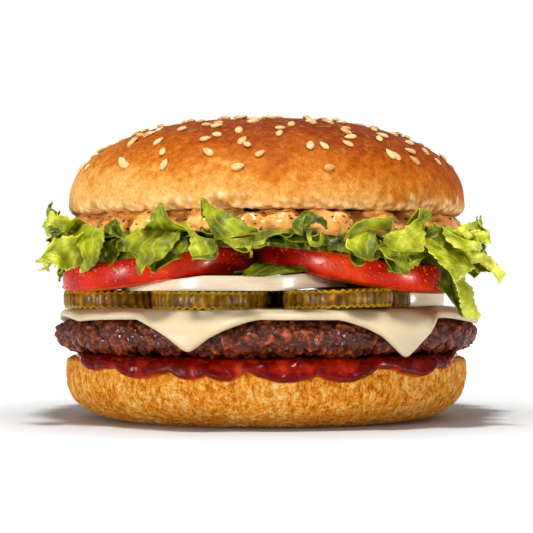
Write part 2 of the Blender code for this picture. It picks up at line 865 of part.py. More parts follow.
def main():
    clear_scene()
    burger = collection("hamburger")
    crust = finish("bun_crust", (0.78, 0.45, 0.16), 0.45)
    heel_crust = finish("heel_crust", (0.86, 0.52, 0.20), 0.7)
    ketchup = finish("ketchup", (0.42, 0.03, 0.01), 0.2)
    meat = finish("beef", (0.13, 0.045, 0.025), 0.45)
    cheese = finish("cheese", (0.90, 0.76, 0.47), 0.4)
    pickle = finish("pickle", (0.30, 0.24, 0.03), 0.3)
    onion = finish("onion", (0.88, 0.82, 0.66), 0.3)
    tomato = finish("tomato", (0.68, 0.03, 0.01), 0.25)
    leaf = finish("lettuce", (0.33, 0.50, 0.05), 0.45)
    sauce = finish("herb_sauce", (0.85, 0.40, 0.18), 0.25)

    make_heel(burger, heel_crust)
    make_ketchup(burger, ketchup)
    make_patty(burger, meat)
    make_cheese(burger, cheese)
    for name in PICKLES:
        make_pickle(name, burger, pickle)
    make_onion("onion_front", ONION_FRONT, front_onion_foot, front_onion_roof, burger, onion)
    make_onion("onion_back", ONION_BACK, lambda x: ONION_LEVEL, back_onion_roof, burger, onion)
    make_onion("onion_right", ONION_RIGHT, lambda x: PICKLE_BASE, lambda x: ONION_LEVEL, burger, onion)
    for name, slice_of, foot in (
        ("tomato_left", TOMATO_LEFT, left_tomato_foot),
        ("tomato_right", TOMATO_RIGHT, right_tomato_foot),
        ("tomato_back_left", TOMATO_BACK_LEFT, back_left_tomato_foot),
        ("tomato_back_right", TOMATO_BACK_RIGHT, back_right_tomato_foot),
    ):
        make_tomato(name, slice_of, foot, burger, tomato)
    make_leaf_scrap(burger, leaf)
    add_back_leaves()
    for name in LEAVES:
        make_leaf(name, burger, leaf)
    for name in RUFFLES:
        make_ruffle(name, burger, leaf)
    make_sauce(burger, sauce)
    join_seeds(make_crown(burger, crust))


main()
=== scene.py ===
"""The look of a large cheeseburger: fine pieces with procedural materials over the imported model.

Sizes are in millimetres and turned into metres where a mesh is made. +Z is up and the front faces -Y.
An azimuth is measured from the front, positive towards +X.
"""

import math
import random
from itertools import product

import bmesh
import bpy
import numpy as np
from mathutils import Matrix, Vector


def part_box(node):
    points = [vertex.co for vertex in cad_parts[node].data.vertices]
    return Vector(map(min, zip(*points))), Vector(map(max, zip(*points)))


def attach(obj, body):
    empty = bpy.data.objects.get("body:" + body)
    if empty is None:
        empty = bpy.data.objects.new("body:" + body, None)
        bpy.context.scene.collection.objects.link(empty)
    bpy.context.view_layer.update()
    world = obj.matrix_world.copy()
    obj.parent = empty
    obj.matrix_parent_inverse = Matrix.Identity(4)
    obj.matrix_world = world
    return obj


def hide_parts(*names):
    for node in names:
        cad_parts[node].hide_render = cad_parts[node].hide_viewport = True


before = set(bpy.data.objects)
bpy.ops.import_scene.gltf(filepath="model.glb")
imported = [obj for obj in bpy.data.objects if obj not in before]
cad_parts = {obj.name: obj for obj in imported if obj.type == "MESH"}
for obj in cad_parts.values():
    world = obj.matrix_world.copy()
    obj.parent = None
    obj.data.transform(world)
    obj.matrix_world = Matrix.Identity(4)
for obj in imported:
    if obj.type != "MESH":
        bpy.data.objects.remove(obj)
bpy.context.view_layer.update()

MM = 0.001
GAP = 0.3

# The photograph: its scale in the burger's middle plane, and where the camera stands
PHOTO_PIXELS = 533
PIXEL_SIZE = 0.29
CAMERA_DISTANCE = 522.0
EYE_HEIGHT = 38.0
HORIZON_ROW = 285.0

# Buns
HEEL_FOOT_RADIUS = 40.0
HEEL_SIDE_HEIGHT = 13.0
HEEL_CORNER = 1.2
CROWN_FULLNESS = 2.25
CROWN_BULGE_HEIGHT = 3.6
BAKED_SLOPE = 9.0  # painted light and shade: this far to the right, the crown's browning is painted 1 mm further down, so it is darker at the right and paler at the left
BAKED_MOST = 6.0
SEED_COUNT = 108
SEED_START = 44  # more seeds lie between from this one on, and past the last one down the dome's side
SEED_END = 116
SEED_LENGTH = 3.4
SEED_WIDTH = 2.3
SEED_DEPTH = 1.3
SEED_TURN = math.radians(137.508)
SEED_SPREAD = 55.0
SEED_CROWDING = 0.56
SEED_JITTER = 2.2
SEED_RANDOM = 41

# Ketchup: each lobe's azimuth, how far it runs past the edge of the heel's top and half its width, at the
# front and again at the back
KETCHUP_THICKNESS = 1.7
KETCHUP_START = -14.0
KETCHUP_EDGE = 2.4
KETCHUP_RETREAT = -1.5
KETCHUP_LOBES = (
    (-52, 3.2, 9), (-34.6, 4.8, 10), (-20.4, 5, 6), (-11.4, 5, 6),
    (5.1, 5.4, 10), (20.9, 5.8, 9), (43.5, 4.6, 8), (55, 3.2, 5),
)

# Patty and cheese
PATTY_MIDDLE = 24.3
PATTY_HALF = 5.0
PATTY_EDGE = 9.0
PATTY_RADIUS = 60.6
PATTY_RIM = 44  # from this far out the patty is craggy
CHEESE_START = -9.0
CHEESE_SHOULDER = 53.0
CHEESE_CLEAR_RADIUS = 63.2
CHEESE_THICKNESS = 1.5
CHEESE_EDGE = 5.4
# Each corner of cheese: azimuth, how far it runs past the patty's shoulder, half its width in degrees
CHEESE_CORNERS = (
    (-18.5, 17.6, 17), (35, 19.4, 17), (71, 9, 17), (118, 16.5, 18),
    (161, 10, 16), (-149, 17.5, 18), (-104, 9, 16), (-57, 7, 16),
)

# Slices
PICKLE_BASE = 31.8
PICKLE_HALF = 2.2
CRINKLE = 2.1
ONION_LEVEL = 36.4
ONION_THICKNESS = 4.1
ONION_RING = 3.4
TOMATO_OUTER_LEVEL = 36.4
TOMATO_THICKNESS = 7.0
TOMATO_THIN_SIDE = 6.4
# Each tomato slice: from which x to which x its underside rises, and how far
TOMATO_FEET = {
    "tomato_left": (-58.0, -2.0, 5.3),
    "tomato_right": (46.0, -14.0, 8.0),
    "tomato_back_left": (-40.0, -24.0, 4.8),
    "tomato_back_right": (20.0, 4.0, 4.8),
}
DROPS_A_SLICE = 420
DROP_CROWDS = (-0.8, -0.4, 0.9)  # where the drops stand close together, in radians round the slice
SAG = 0.7  # how far a slice's underside sinks onto what carries it, inside its rim

# Lettuce
LEAF_INNER_RADIUS = 30.0
LOW_LAYER = 50.3
HIGH_LAYER = 51.5
LEAF_THICKNESS = 0.32
LEAF_EDGE_RADIUS = 64
RIB_SPACING = 9
VEIN_SPACING = 3.2
LEAF_PULL = 2.2  # how far a leaf's sheet stays behind the lobes that hang from it
FRONT_LEAF_PULL = 4.6
SHEET_CREST = 1.2  # how far the sheet itself climbs where its lobes stand up
RUFFLE_INNER_RADIUS = 44.0
RUFFLE_RADIUS = 54.5
RUFFLE_CLEAR = 1.4

# Herb sauce: each lobe that hangs between the leaves: azimuth, how far it droops, half its width
SAUCE_RADIUS = 54.6
SAUCE_LOBES = (
    (-49, 2.4, 8), (-35.5, 2, 5), (-19, 1.4, 6), (-6, 2, 8), (3.5, 1.2, 5),
    (18.5, 2.8, 6.5), (34, 1.6, 7), (47, 1.4, 6), (72, 1.8, 8), (101, 2.2, 7),
    (124, 1.4, 6), (150, 2.4, 8), (176, 1.6, 7), (-152, 2.2, 7), (-127, 1.4, 6),
    (-99, 2.4, 8), (-74, 1.6, 7),
)

# Studio: from one share of the way back to another, it goes from one brightness to another
STUDIO_FADE = (0.9, 0.97, 0.32, 1.05)
# Floor, by the distance in metres: a painted shadow round the burger fades to the floor's own pale colour
# from one distance to another, and further out the floor glows, a painted light
PALER_FROM_TO = (0.05, 0.105)
NEAR_FLOOR = (0.5, 0.5, 0.5, 1)
FAR_FLOOR = (0.9, 0.9, 0.9, 1)
GLOW_FROM_TO = (0.10, 0.45)
GLOW_STRENGTH = 0.75
# Lamps: place, width and height in metres, and power; they face the burger's middle
LAMPS = {
    "key": ((-0.01, -0.2, 0.61), (0.09, 0.09), 3.95),
    "front_fill": ((-0.62, -0.64, 0.07), (0.18, 0.1), 4.8),
    "right_fill": ((0.7, -0.5, 0.03), (0.14, 0.05), 2.6),
}
LAMP_TARGET = (0, 0, 0.045)


# Noise


def hashed(cell, seed):
    """A value from 0 to 1 for each whole-number cell."""
    mask = np.int64(0xFFFFFFFF)
    n = cell[..., 0] * 374761393 + cell[..., 1] * 668265263 + cell[..., 2] * 1440662683
    n = (n + seed * 974634777) & mask
    n = ((n ^ (n >> 13)) * 1274126177) & mask
    n = ((n ^ (n >> 15)) * 1103515245) & mask
    return ((n ^ (n >> 16)) & 0xFFFFFF) / float(0xFFFFFF)


def noise(points, size, seed=0):
    """Smooth noise from about -1 to 1 whose bumps are this many millimetres apart."""
    scaled = points / size
    base = np.floor(scaled).astype(np.int64)
    inside = scaled - base
    blend = inside**3 * (inside * (inside * 6 - 15) + 10)
    total = np.zeros(points.shape[:-1])
    for corner in product((0, 1), repeat=3):
        cell = base + corner
        weight = np.prod(np.where(corner, blend, 1 - blend), axis=-1)
        away = inside - corner
        slope = sum((hashed(cell, seed * 7 + k) * 2 - 1) * away[..., k] for k in range(3))
        total += weight * slope
    return total * 1.7


def fractal(points, size, octaves=4, seed=0, keep=0.5):
    """Several octaves of noise, each half the size of the last."""
    total = 0
    strength = 1.0
    for octave in range(octaves):
        total = total + strength * noise(points, size / 2**octave, seed + octave * 13)
        strength *= keep
    return total


def clumps(points, size, seed=0):
    """Distances to the nearest and the next nearest of scattered centres this far apart, in that size."""
    scaled = points / size
    base = np.floor(scaled).astype(np.int64)
    first = np.full(points.shape[:-1], 9.0)
    second = first.copy()
    for offset in product((-1, 0, 1), repeat=3):
        cell = base + offset
        away = [cell[..., k] + hashed(cell, seed * 5 + k) - scaled[..., k] for k in range(3)]
        distance = np.sqrt(away[0] ** 2 + away[1] ** 2 + away[2] ** 2)
        second = np.minimum(second, np.maximum(first, distance))
        first = np.minimum(first, distance)
    return first, second


def smooth(t):
    """0 below 0, 1 above 1, and an even slope between."""
    t = np.clip(t, 0.0, 1.0)
    return t * t * (3 - 2 * t)


def ring_noise(azimuth, count, seed):
    """Smooth noise round a ring, with about this many bumps in a turn."""
    reach = count / math.tau
    level = np.full_like(azimuth, seed * 0.37)
    ring = np.stack([reach * np.cos(azimuth), reach * np.sin(azimuth), level], axis=-1)
    return noise(ring + 0.5, 1.0, int(seed))


def line_noise(distance, size, seed):
    """Smooth noise along a line."""
    line = np.stack(np.broadcast_arrays(distance, 3.7 * seed, 0.5 * size), axis=-1)
    return noise(line, size, seed)


def teeth(distance, size, seed):
    """Pointed teeth of uneven length along an edge, about this many millimetres apart, from 0 to 1."""
    place = distance / size + 0.4 * line_noise(distance, 2.3 * size, seed)
    count = np.floor(place)
    share = place - count
    cell = np.stack(np.broadcast_arrays(count, 0 * count, 0 * count), axis=-1).astype(np.int64)
    return np.minimum(share / 0.62, (1 - share) / 0.38) * (0.45 + 0.55 * hashed(cell, seed))


def superellipse(angle, fullness):
    """The sine and cosine of a squarer circle."""
    s, c = np.sin(angle), np.cos(angle)
    return np.sign(s) * np.abs(s) ** (2 / fullness), np.sign(c) * np.abs(c) ** (2 / fullness)


# Meshes: a part is its points, its four-sided faces and what is known of each point


def unit(vectors):
    return vectors / np.maximum(np.linalg.norm(vectors, axis=-1, keepdims=True), 1e-9)


def normals_of(points, around=False):
    """Outward normals of a lattice whose rows run from the top down and whose columns run by azimuth."""
    down = np.gradient(points, axis=0)
    if around:
        across = (np.roll(points, -1, axis=1) - np.roll(points, 1, axis=1)) / 2
    else:
        across = np.gradient(points, axis=1)
    return unit(np.cross(down, across))


def lattice(points, around=False, **facts):
    """A part over rows and columns of points; around joins the last column to the first."""
    rows, columns = points.shape[:2]
    index = np.arange(rows * columns).reshape(rows, columns)
    if around:
        index = np.concatenate([index, index[:, :1]], axis=1)
    corners = (index[:-1, :-1], index[1:, :-1], index[1:, 1:], index[:-1, 1:])
    faces = np.stack(corners, axis=-1).reshape(-1, 4)
    spread = {fact: np.broadcast_to(values, (rows, columns)).ravel() for fact, values in facts.items()}
    return points.reshape(-1, 3), faces, spread


def ball(rings, segments):
    """Points and faces of a unit ball, with each pole as a ring of points in one place."""
    polar = np.linspace(0, math.pi, rings + 1)[:, None]
    turn = (np.arange(segments) * math.tau / segments)[None, :]
    height = np.cos(polar) + 0 * turn
    points = np.stack([np.sin(polar) * np.cos(turn), np.sin(polar) * np.sin(turn), height], axis=-1)
    return lattice(points, True)[:2]


def make_mesh(name, parts):
    """One smooth mesh of the parts, with the points welded that lie together."""
    points = np.concatenate([part[0] for part in parts])
    starts = np.cumsum([0] + [len(part[0]) for part in parts[:-1]])
    faces = np.concatenate([part[1] + start for part, start in zip(parts, starts)])
    mesh = bpy.data.meshes.new(name)
    mesh.vertices.add(len(points))
    mesh.vertices.foreach_set("co", (points * MM).astype(np.float32).ravel())
    mesh.loops.add(faces.size)
    mesh.loops.foreach_set("vertex_index", faces.astype(np.int32).ravel())
    mesh.polygons.add(len(faces))
    mesh.polygons.foreach_set("loop_start", np.arange(0, faces.size, 4, dtype=np.int32))
    mesh.update(calc_edges=True)
    for fact in parts[0][2]:
        layer = mesh.attributes.new(fact, "FLOAT", "POINT")
        values = np.concatenate([part[2][fact] for part in parts])
        layer.data.foreach_set("value", values.astype(np.float32))
    work = bmesh.new()
    work.from_mesh(mesh)
    bmesh.ops.remove_doubles(work, verts=work.verts, dist=0.000002)
    bmesh.ops.recalc_face_normals(work, faces=work.faces)
    work.to_mesh(mesh)
    work.free()
    mesh.shade_smooth()
    return mesh


def piece(name, parts, material, slot, *replaced, thickness=0.0):
    """An object that rides on the burger and stands for the named solids."""
    obj = bpy.data.objects.new(name, make_mesh(name, parts))
    bpy.context.scene.collection.objects.link(obj)
    obj.data.materials.append(material)
    if thickness:
        solid = obj.modifiers.new("thickness", "SOLIDIFY")
        solid.thickness = thickness * MM
        solid.offset = 0
    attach(obj, "root")
    if replaced:
        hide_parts(*replaced)


def node_box(node):
    """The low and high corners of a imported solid, in millimetres."""
    return (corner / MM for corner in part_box(node))


def polar_points(azimuth, radius, height):
    """Points at these azimuths from the front, in radians."""
    x, y = radius * np.sin(azimuth), -radius * np.cos(azimuth)
    return np.stack(np.broadcast_arrays(x, y, height), axis=-1)


def flat_azimuth(points):
    return np.arctan2(points[..., 0], -points[..., 1])


def flat_reach(points):
    return np.hypot(points[..., 0], points[..., 1])


def round_azimuths(columns):
    return (np.arange(columns) * math.tau / columns)[None, :]


def turned(profile, columns):
    """Points in rows and columns: a profile of (radius, height) turned round the middle."""
    radius, height = (np.array(values, float)[:, None] for values in zip(*profile))
    return polar_points(round_azimuths(columns), radius, height)


def resample(profile, steps):
    """Points at even steps along a profile, each end kept."""
    points = np.array(profile, float)
    runs = np.concatenate([[0], np.cumsum(np.linalg.norm(np.diff(points, axis=0), axis=1))])
    wanted = np.linspace(0, runs[-1], steps)
    return list(zip(np.interp(wanted, runs, points[:, 0]), np.interp(wanted, runs, points[:, 1])))


def through(rows, share):
    """Points on the smooth curve through the rows, at these shares of the way."""
    rows = np.array(rows, float)
    spans = len(rows) - 1
    along = np.minimum(share, 0.999999) * spans
    i = along.astype(int)
    t = (along - i)[..., None]
    a, b, c, d = (rows[np.clip(i + k, 0, spans)] for k in (-1, 0, 1, 2))
    bent = (2 * a - 5 * b + 4 * c - d) * t**2 + (3 * b - a - 3 * c + d) * t**3
    return 0.5 * (2 * b + (c - a) * t + bent)


# Materials


def seen(red, green, blue, light=1.0):
    """The colour of a surface that looks like this on screen, 0 to 255, under this much light."""
    values = [c / 255 for c in (red, green, blue)]
    values = [c / 12.92 if c <= 0.04045 else ((c + 0.055) / 1.055) ** 2.4 for c in values]
    return (*[c / light for c in values], 1.0)


class Paint:
    """A Principled material with short ways to add nodes to it."""

    def __init__(self, name, **sockets):
        self.material = bpy.data.materials.new(name)
        self.material.use_nodes = True
        self.tree = self.material.node_tree
        self.shader = self.tree.nodes["Principled BSDF"]
        self.use(**sockets)
        self.place = self.tree.nodes.new("ShaderNodeTexCoord").outputs["Object"]

    def put(self, socket, value):
        if isinstance(value, bpy.types.NodeSocket):
            self.tree.links.new(value, socket)
        else:
            socket.default_value = value

    def node(self, kind, inputs=None, **settings):
        made = self.tree.nodes.new(kind)
        for setting, value in settings.items():
            setattr(made, setting, value)
        for key, value in (inputs or {}).items():
            self.put(made.inputs[key], value)
        return made

    def fact(self, name):
        """A value kept on the mesh's points."""
        return self.node("ShaderNodeAttribute", attribute_name=name).outputs["Fac"]

    def stretched(self, x, y, z):
        return self.node("ShaderNodeMapping", {"Vector": self.place, "Scale": (x, y, z)}).outputs[0]

    def noise(self, size, detail=3.0, roughness=0.55, place=None):
        """Noise whose bumps are this many millimetres apart."""
        inputs = {"Vector": place or self.place, "Scale": 1 / (size * MM)}
        inputs |= {"Detail": detail, "Roughness": roughness}
        return self.node("ShaderNodeTexNoise", inputs).outputs["Fac"]

    def patches(self, size, detail, low, high, to_low=0.0, to_high=1.0, roughness=0.55):
        """Noise whose values from low to high become the others."""
        return self.between(self.noise(size, detail, roughness), low, high, to_low, to_high)

    def cells(self, size, place=None):
        """The distance to the nearest of scattered centres, in their spacing."""
        inputs = {"Vector": place or self.place, "Scale": 1 / (size * MM)}
        return self.node("ShaderNodeTexVoronoi", inputs).outputs["Distance"]

    def height(self):
        """The height above the table, in millimetres."""
        split = self.node("ShaderNodeSeparateXYZ", {"Vector": self.place})
        return self.times(split.outputs["Z"], 1 / MM)

    def times(self, a, b):
        return self.node("ShaderNodeMath", {0: a, 1: b}, operation="MULTIPLY").outputs[0]

    def add(self, first, *others):
        for other in others:
            first = self.node("ShaderNodeMath", {0: first, 1: other}, operation="ADD").outputs[0]
        return first

    def between(self, value, low, high, to_low=0.0, to_high=1.0):
        """The value's place between low and high, held to that range."""
        inputs = {"Value": value, "From Min": low, "From Max": high, "To Min": to_low, "To Max": to_high}
        return self.node("ShaderNodeMapRange", inputs).outputs[0]

    def mix(self, share, a, b):
        made = self.node("ShaderNodeMix", data_type="RGBA")
        self.put(made.inputs["Factor"], share)
        for name, value in (("A", a), ("B", b)):
            self.put([s for s in made.inputs if s.name == name and s.type == "RGBA"][0], value)
        return [s for s in made.outputs if s.type == "RGBA"][0]

    def ramp(self, value, *stops):
        """A colour by the value, from stops of the value and what seen() is given."""
        made = self.node("ShaderNodeValToRGB", {"Fac": value})
        band = made.color_ramp
        while len(band.elements) < len(stops):
            band.elements.new(0.5)
        for element, (position, *colour) in zip(band.elements, stops):
            element.position = position
            element.color = seen(*colour)
        return made.outputs["Color"]

    def scatter(self, weight, radius, scale):
        """Light that goes in and comes out nearby: the reach of red, green and blue in millimetres."""
        self.use(Subsurface_Weight=weight, Subsurface_Radius=radius, Subsurface_Scale=scale * MM)

    def use(self, **sockets):
        for socket, value in sockets.items():
            self.put(self.shader.inputs[socket.replace("_", " ")], value)
        return self.material

    def finish(self, colour, *bumps):
        """The material in this colour, with bumps: each a height and its depth in millimetres."""
        below = {}
        for height, depth in bumps:
            inputs = {"Height": height, "Distance": depth * MM, "Strength": 1.0}
            below = {"Normal": self.node("ShaderNodeBump", inputs | below).outputs["Normal"]}
        return self.use(Base_Color=colour, **below)


def crown_paint():
    paint = Paint("crown_crust", Roughness=0.5, Specular_IOR_Level=0.06)
    patch = paint.patches(13, 4, 0.25, 0.75, -5.0, 5.0, roughness=0.6)
    fine = paint.patches(2.2, 5, 0.25, 0.75, -6.0, 6.0, roughness=0.75)
    # Painted light and shade: the baked fact darkens the crust at the right and lightens it at the left.
    level = paint.add(paint.height(), patch, fine, paint.fact("baked"))
    toast = paint.ramp(
        paint.between(level, 57.0, 87.0),
        (0.0, 230, 174, 98, 1.1), (0.2, 222, 156, 72, 1.25), (0.38, 212, 122, 26, 1.55),
        (0.54, 196, 94, 2, 1.75), (0.74, 166, 64, 0, 1.9), (1.0, 132, 44, 0, 1.9),
    )
    pore = paint.between(paint.cells(1.1), 0.0, 0.4, 0.5, 0.0)
    colour = paint.mix(pore, toast, seen(140, 62, 12))
    spot = paint.patches(1.5, 4, 0.52, 0.68, 0.0, 0.6, roughness=0.7)
    colour = paint.mix(spot, colour, seen(186, 98, 22, 1.1))
    pale = paint.patches(2.6, 5, 0.55, 0.72, 0.0, 0.32, roughness=0.75)
    colour = paint.mix(pale, colour, seen(244, 178, 96, 1.1))
    crumb = paint.fact("crumb")
    colour = paint.mix(paint.times(crumb, 0.7), colour, seen(252, 220, 168))
    # Painted shade: darker between the crumbs along the rim.
    gap = paint.between(crumb, -0.6, -0.1, 0.65, 0.0)
    colour = paint.mix(gap, colour, seen(170, 88, 14))
    wrinkle = paint.noise(1.7, 4, 0.65, paint.stretched(1.0, 1.0, 0.5))
    grain = paint.noise(0.5, 4, 0.6)
    paint.scatter(0.08, (1.0, 0.4, 0.12), 1.2)
    return paint.finish(colour, (grain, 0.16), (wrinkle, 0.32))


def seed_paint():
    paint = Paint("sesame", Roughness=0.4, Specular_IOR_Level=0.35)
    colour = paint.ramp(
        paint.fact("toast"),
        (0.0, 246, 216, 160, 1.45), (0.6, 240, 196, 128, 1.5), (1.0, 222, 160, 84, 1.55),
    )
    mottle = paint.patches(0.8, 3, 0.4, 0.75, 0.0, 0.3)
    colour = paint.mix(mottle, colour, seen(200, 136, 66))
    paint.scatter(0.25, (1.0, 0.6, 0.3), 0.6)
    return paint.finish(colour, (paint.noise(0.35, 3), 0.05))


def heel_paint():
    paint = Paint("heel_crust", Roughness=0.75, Specular_IOR_Level=0.12)
    grain = paint.noise(0.65, 5, 0.75)
    ridge = paint.noise(1.3, 4, 0.65, paint.stretched(1.0, 1.0, 0.6))
    # Painted shade: the crust is painted darker in the pits of its relief and paler on the ridges.
    relief = paint.times(paint.fact("relief"), 0.05)
    patch = paint.patches(12, 3, 0.3, 0.7, -0.04, 0.04)
    tone = paint.add(paint.times(ridge, 0.5), paint.times(grain, 0.5), relief, patch)
    colour = paint.ramp(
        paint.between(tone, 0.39, 0.62),
        (0.0, 176, 88, 2), (0.28, 224, 132, 20), (0.6, 250, 170, 54),
        (1.0, 255, 222, 144),
    )
    low = paint.between(paint.height(), 0.5, 9.0, 0.3, 0.0)
    colour = paint.mix(low, colour, seen(204, 116, 20))
    paint.scatter(0.08, (1.0, 0.4, 0.12), 1.2)
    return paint.finish(colour, (grain, 0.9), (ridge, 1.0))


def ketchup_paint():
    paint = Paint("ketchup", Roughness=0.12, Specular_IOR_Level=0.1, Coat_Weight=0.14, Coat_Roughness=0.02)
    thin = paint.fact("thin")
    tone = paint.add(thin, paint.patches(2.2, 3, 0.3, 0.7, -0.18, 0.18))
    colour = paint.ramp(
        tone,
        (0.0, 90, 2, 0), (0.35, 142, 20, 0), (0.65, 184, 58, 4),
        (1.0, 212, 112, 28),
    )
    paint.scatter(0.2, (1.0, 0.15, 0.04), 0.8)
    return paint.finish(colour, (paint.noise(1.4, 3), 0.4))


def patty_paint():
    paint = Paint("beef", Specular_IOR_Level=0.22, Coat_Weight=0.4, Coat_Roughness=0.1)
    fine = paint.noise(0.7, 4, 0.7)
    # Painted shade: the deep fact makes the meat darker down in its crevices and paler on its lumps.
    tone = paint.add(paint.times(paint.fact("deep"), 0.85), paint.times(fine, 0.5))
    colour = paint.ramp(
        paint.between(tone, 0.2, 1.15),
        (0.0, 20, 2, 0), (0.35, 88, 26, 0), (0.6, 160, 64, 18),
        (1.0, 228, 136, 74),
    )
    char = paint.patches(7, 4, 0.5, 0.68, 0.0, 0.7, roughness=0.65)
    colour = paint.mix(char, colour, seen(54, 14, 3))
    rough = paint.patches(1.8, 3, 0.4, 0.6, 0.16, 0.5)
    paint.scatter(0.06, (1.0, 0.3, 0.15), 0.8)
    paint.use(Roughness=rough)
    return paint.finish(colour, (fine, 0.8))


def cheese_paint():
    paint = Paint("cheese", Roughness=0.4, Specular_IOR_Level=0.3)
    colour = paint.ramp(paint.noise(14, 3), (0.3, 236, 218, 182, 1.5), (0.7, 228, 204, 162, 1.5))
    paint.scatter(0.6, (1.0, 0.8, 0.5), 3.0)
    return paint.finish(colour, (paint.noise(3.0, 3), 0.12))


def pickle_paint():
    paint = Paint("pickle", Roughness=0.3, Specular_IOR_Level=0.1, Coat_Weight=0.05, Coat_Roughness=0.08)
    rim = paint.fact("rim")
    # Painted shade and light: the skin is darker in the hollows of the crinkles and paler on their ridges.
    ribs = paint.add(paint.fact("rib"), paint.patches(2.4, 3, 0.3, 0.7, -0.5, 0.5))
    skin = paint.ramp(
        ribs,
        (0.0, 66, 40, 0), (0.4, 98, 64, 1), (0.8, 126, 86, 6),
        (1.0, 156, 116, 26),
    )
    inner = paint.ramp(paint.noise(3.0, 3), (0.3, 170, 126, 8, 1.15), (0.7, 208, 166, 36, 1.15))
    colour = paint.mix(rim, skin, inner)
    paint.scatter(0.3, (0.8, 0.55, 0.1), 0.9)
    return paint.finish(colour, (paint.noise(0.9, 3), 0.12))


def onion_paint():
    paint = Paint("onion", Roughness=0.25, Specular_IOR_Level=0.3, Coat_Weight=0.1, Coat_Roughness=0.05)
    colour = paint.mix(paint.fact("ring"), seen(232, 214, 186), seen(218, 192, 150))
    lines = paint.noise(2.2, 3, 0.6, paint.stretched(0.15, 0.15, 1.0))
    colour = paint.mix(paint.between(lines, 0.48, 0.75, 0.0, 0.45), colour, seen(200, 160, 116))
    paint.scatter(0.5, (1.0, 0.8, 0.55), 1.8)
    return paint.finish(colour, (lines, 0.1))


def tomato_paint():
    paint = Paint("tomato", Roughness=0.25, Specular_IOR_Level=0.1, Coat_Weight=0.06, Coat_Roughness=0.05)
    skin = paint.ramp(
        paint.noise(11, 3),
        (0.3, 152, 13, 0), (0.55, 190, 32, 0), (0.75, 222, 72, 12),
    )
    inner = paint.ramp(paint.noise(5, 4), (0.35, 210, 60, 20), (0.7, 236, 104, 48))
    colour = paint.mix(paint.fact("flesh"), skin, inner)
    # Painted highlights: pale specks for glints of juice drops on the tomato.
    speck = paint.between(paint.cells(1.3), 0.05, 0.15, 0.6, 0.0)
    colour = paint.mix(speck, colour, seen(236, 110, 60))
    paint.scatter(0.25, (1.0, 0.16, 0.04), 1.2)
    return paint.finish(colour, (paint.noise(2.4, 3), 0.07))


def leaf_paint():
    paint = Paint("lettuce", Roughness=0.36, Specular_IOR_Level=0.2)
    vein = paint.fact("vein")
    patch = paint.patches(6, 4, 0.25, 0.75, roughness=0.6)
    # The pale fact carries painted shade and light as well as the paler margins.
    tone = paint.add(paint.times(patch, 0.75), paint.times(paint.fact("pale"), 0.5))
    colour = paint.ramp(
        tone,
        (0.0, 32, 36, 0), (0.35, 98, 106, 0), (0.68, 154, 158, 14),
        (1.0, 210, 210, 90),
    )
    colour = paint.mix(paint.times(vein, 0.28), colour, seen(214, 218, 116))
    cell = paint.noise(1.2, 4, 0.6)
    height = paint.add(paint.times(cell, 0.8), paint.times(vein, -0.5))
    paint.scatter(0.6, (0.8, 1.0, 0.1), 1.0)
    return paint.finish(colour, (height, 0.35))


def sauce_paint():
    paint = Paint("herb_sauce", Roughness=0.22, Specular_IOR_Level=0.35)
    paint.use(Coat_Weight=0.15, Coat_Roughness=0.06)
    colour = paint.ramp(paint.noise(3.0, 4), (0.3, 216, 132, 48), (0.7, 248, 188, 106, 1.1))
    fleck = paint.cells(2.0, paint.stretched(1.0, 1.0, 1.5))
    near = paint.add(fleck, paint.patches(0.7, 2, 0.3, 0.7, -0.1, 0.1))
    share = paint.between(near, 0.25, 0.31, 1.0, 0.0)
    few = paint.patches(2.8, 1, 0.45, 0.5)
    green = paint.mix(paint.noise(0.9, 2), seen(24, 34, 6), seen(78, 84, 26))
    colour = paint.mix(paint.times(share, few), colour, green)
    paint.scatter(0.25, (1.0, 0.5, 0.2), 0.8)
    return paint.finish(colour, (paint.noise(1.7, 3), 0.22))


def drop_paint():
    paint = Paint("juice", Roughness=0.08, Specular_IOR_Level=0.5, Coat_Weight=0.8, Coat_Roughness=0.02)
    paint.scatter(0.4, (1.0, 0.3, 0.1), 0.6)
    return paint.finish(paint.mix(paint.noise(2.0, 2), seen(190, 30, 6), seen(212, 56, 28)))


# Buns


def make_heel():
    low, high = node_box("bun_bottom")
    radius, top = (high.x - low.x) / 2 - 0.1, high.z
    s, c = superellipse(np.linspace(1, 0, 26) * math.pi / 2, 2.3)
    side = list(zip(HEEL_FOOT_RADIUS + (radius - HEEL_FOOT_RADIUS) * s, HEEL_SIDE_HEIGHT * (1 - c)))
    rim = [(radius - 3, top), (radius - HEEL_CORNER, top - 0.1), (radius - 0.25, top - 0.7)]
    rim.append((radius, top - 1.8))
    foot = [(HEEL_FOOT_RADIUS - 2, 0), (0, 0)]
    points = turned([(0, top)] + resample(rim + side, 92) + foot, 640)
    normals = normals_of(points, True)
    up = points[..., 2]
    pitted = fractal(points * [1, 1, 0.75], 1.8, 3, 5, 0.6)
    ridged = noise(points * [1, 1, 0.35], 1.5, 9)
    on_side = smooth((flat_reach(points) - HEEL_FOOT_RADIUS) / 8)
    relief = 0.2 * pitted + 0.15 * ridged
    swell = 0.35 * fractal(points, 16, 2, 3) * smooth(up / 5)
    points = points + normals * ((relief + swell) * on_side)[..., None]
    points[..., 2] = np.maximum(points[..., 2], 0.0)
    part = lattice(points, True, relief=np.clip(relief * 4, -1, 1))
    piece("bun_bottom_crust", [part], heel_paint(), "heel_crust", "bun_bottom")


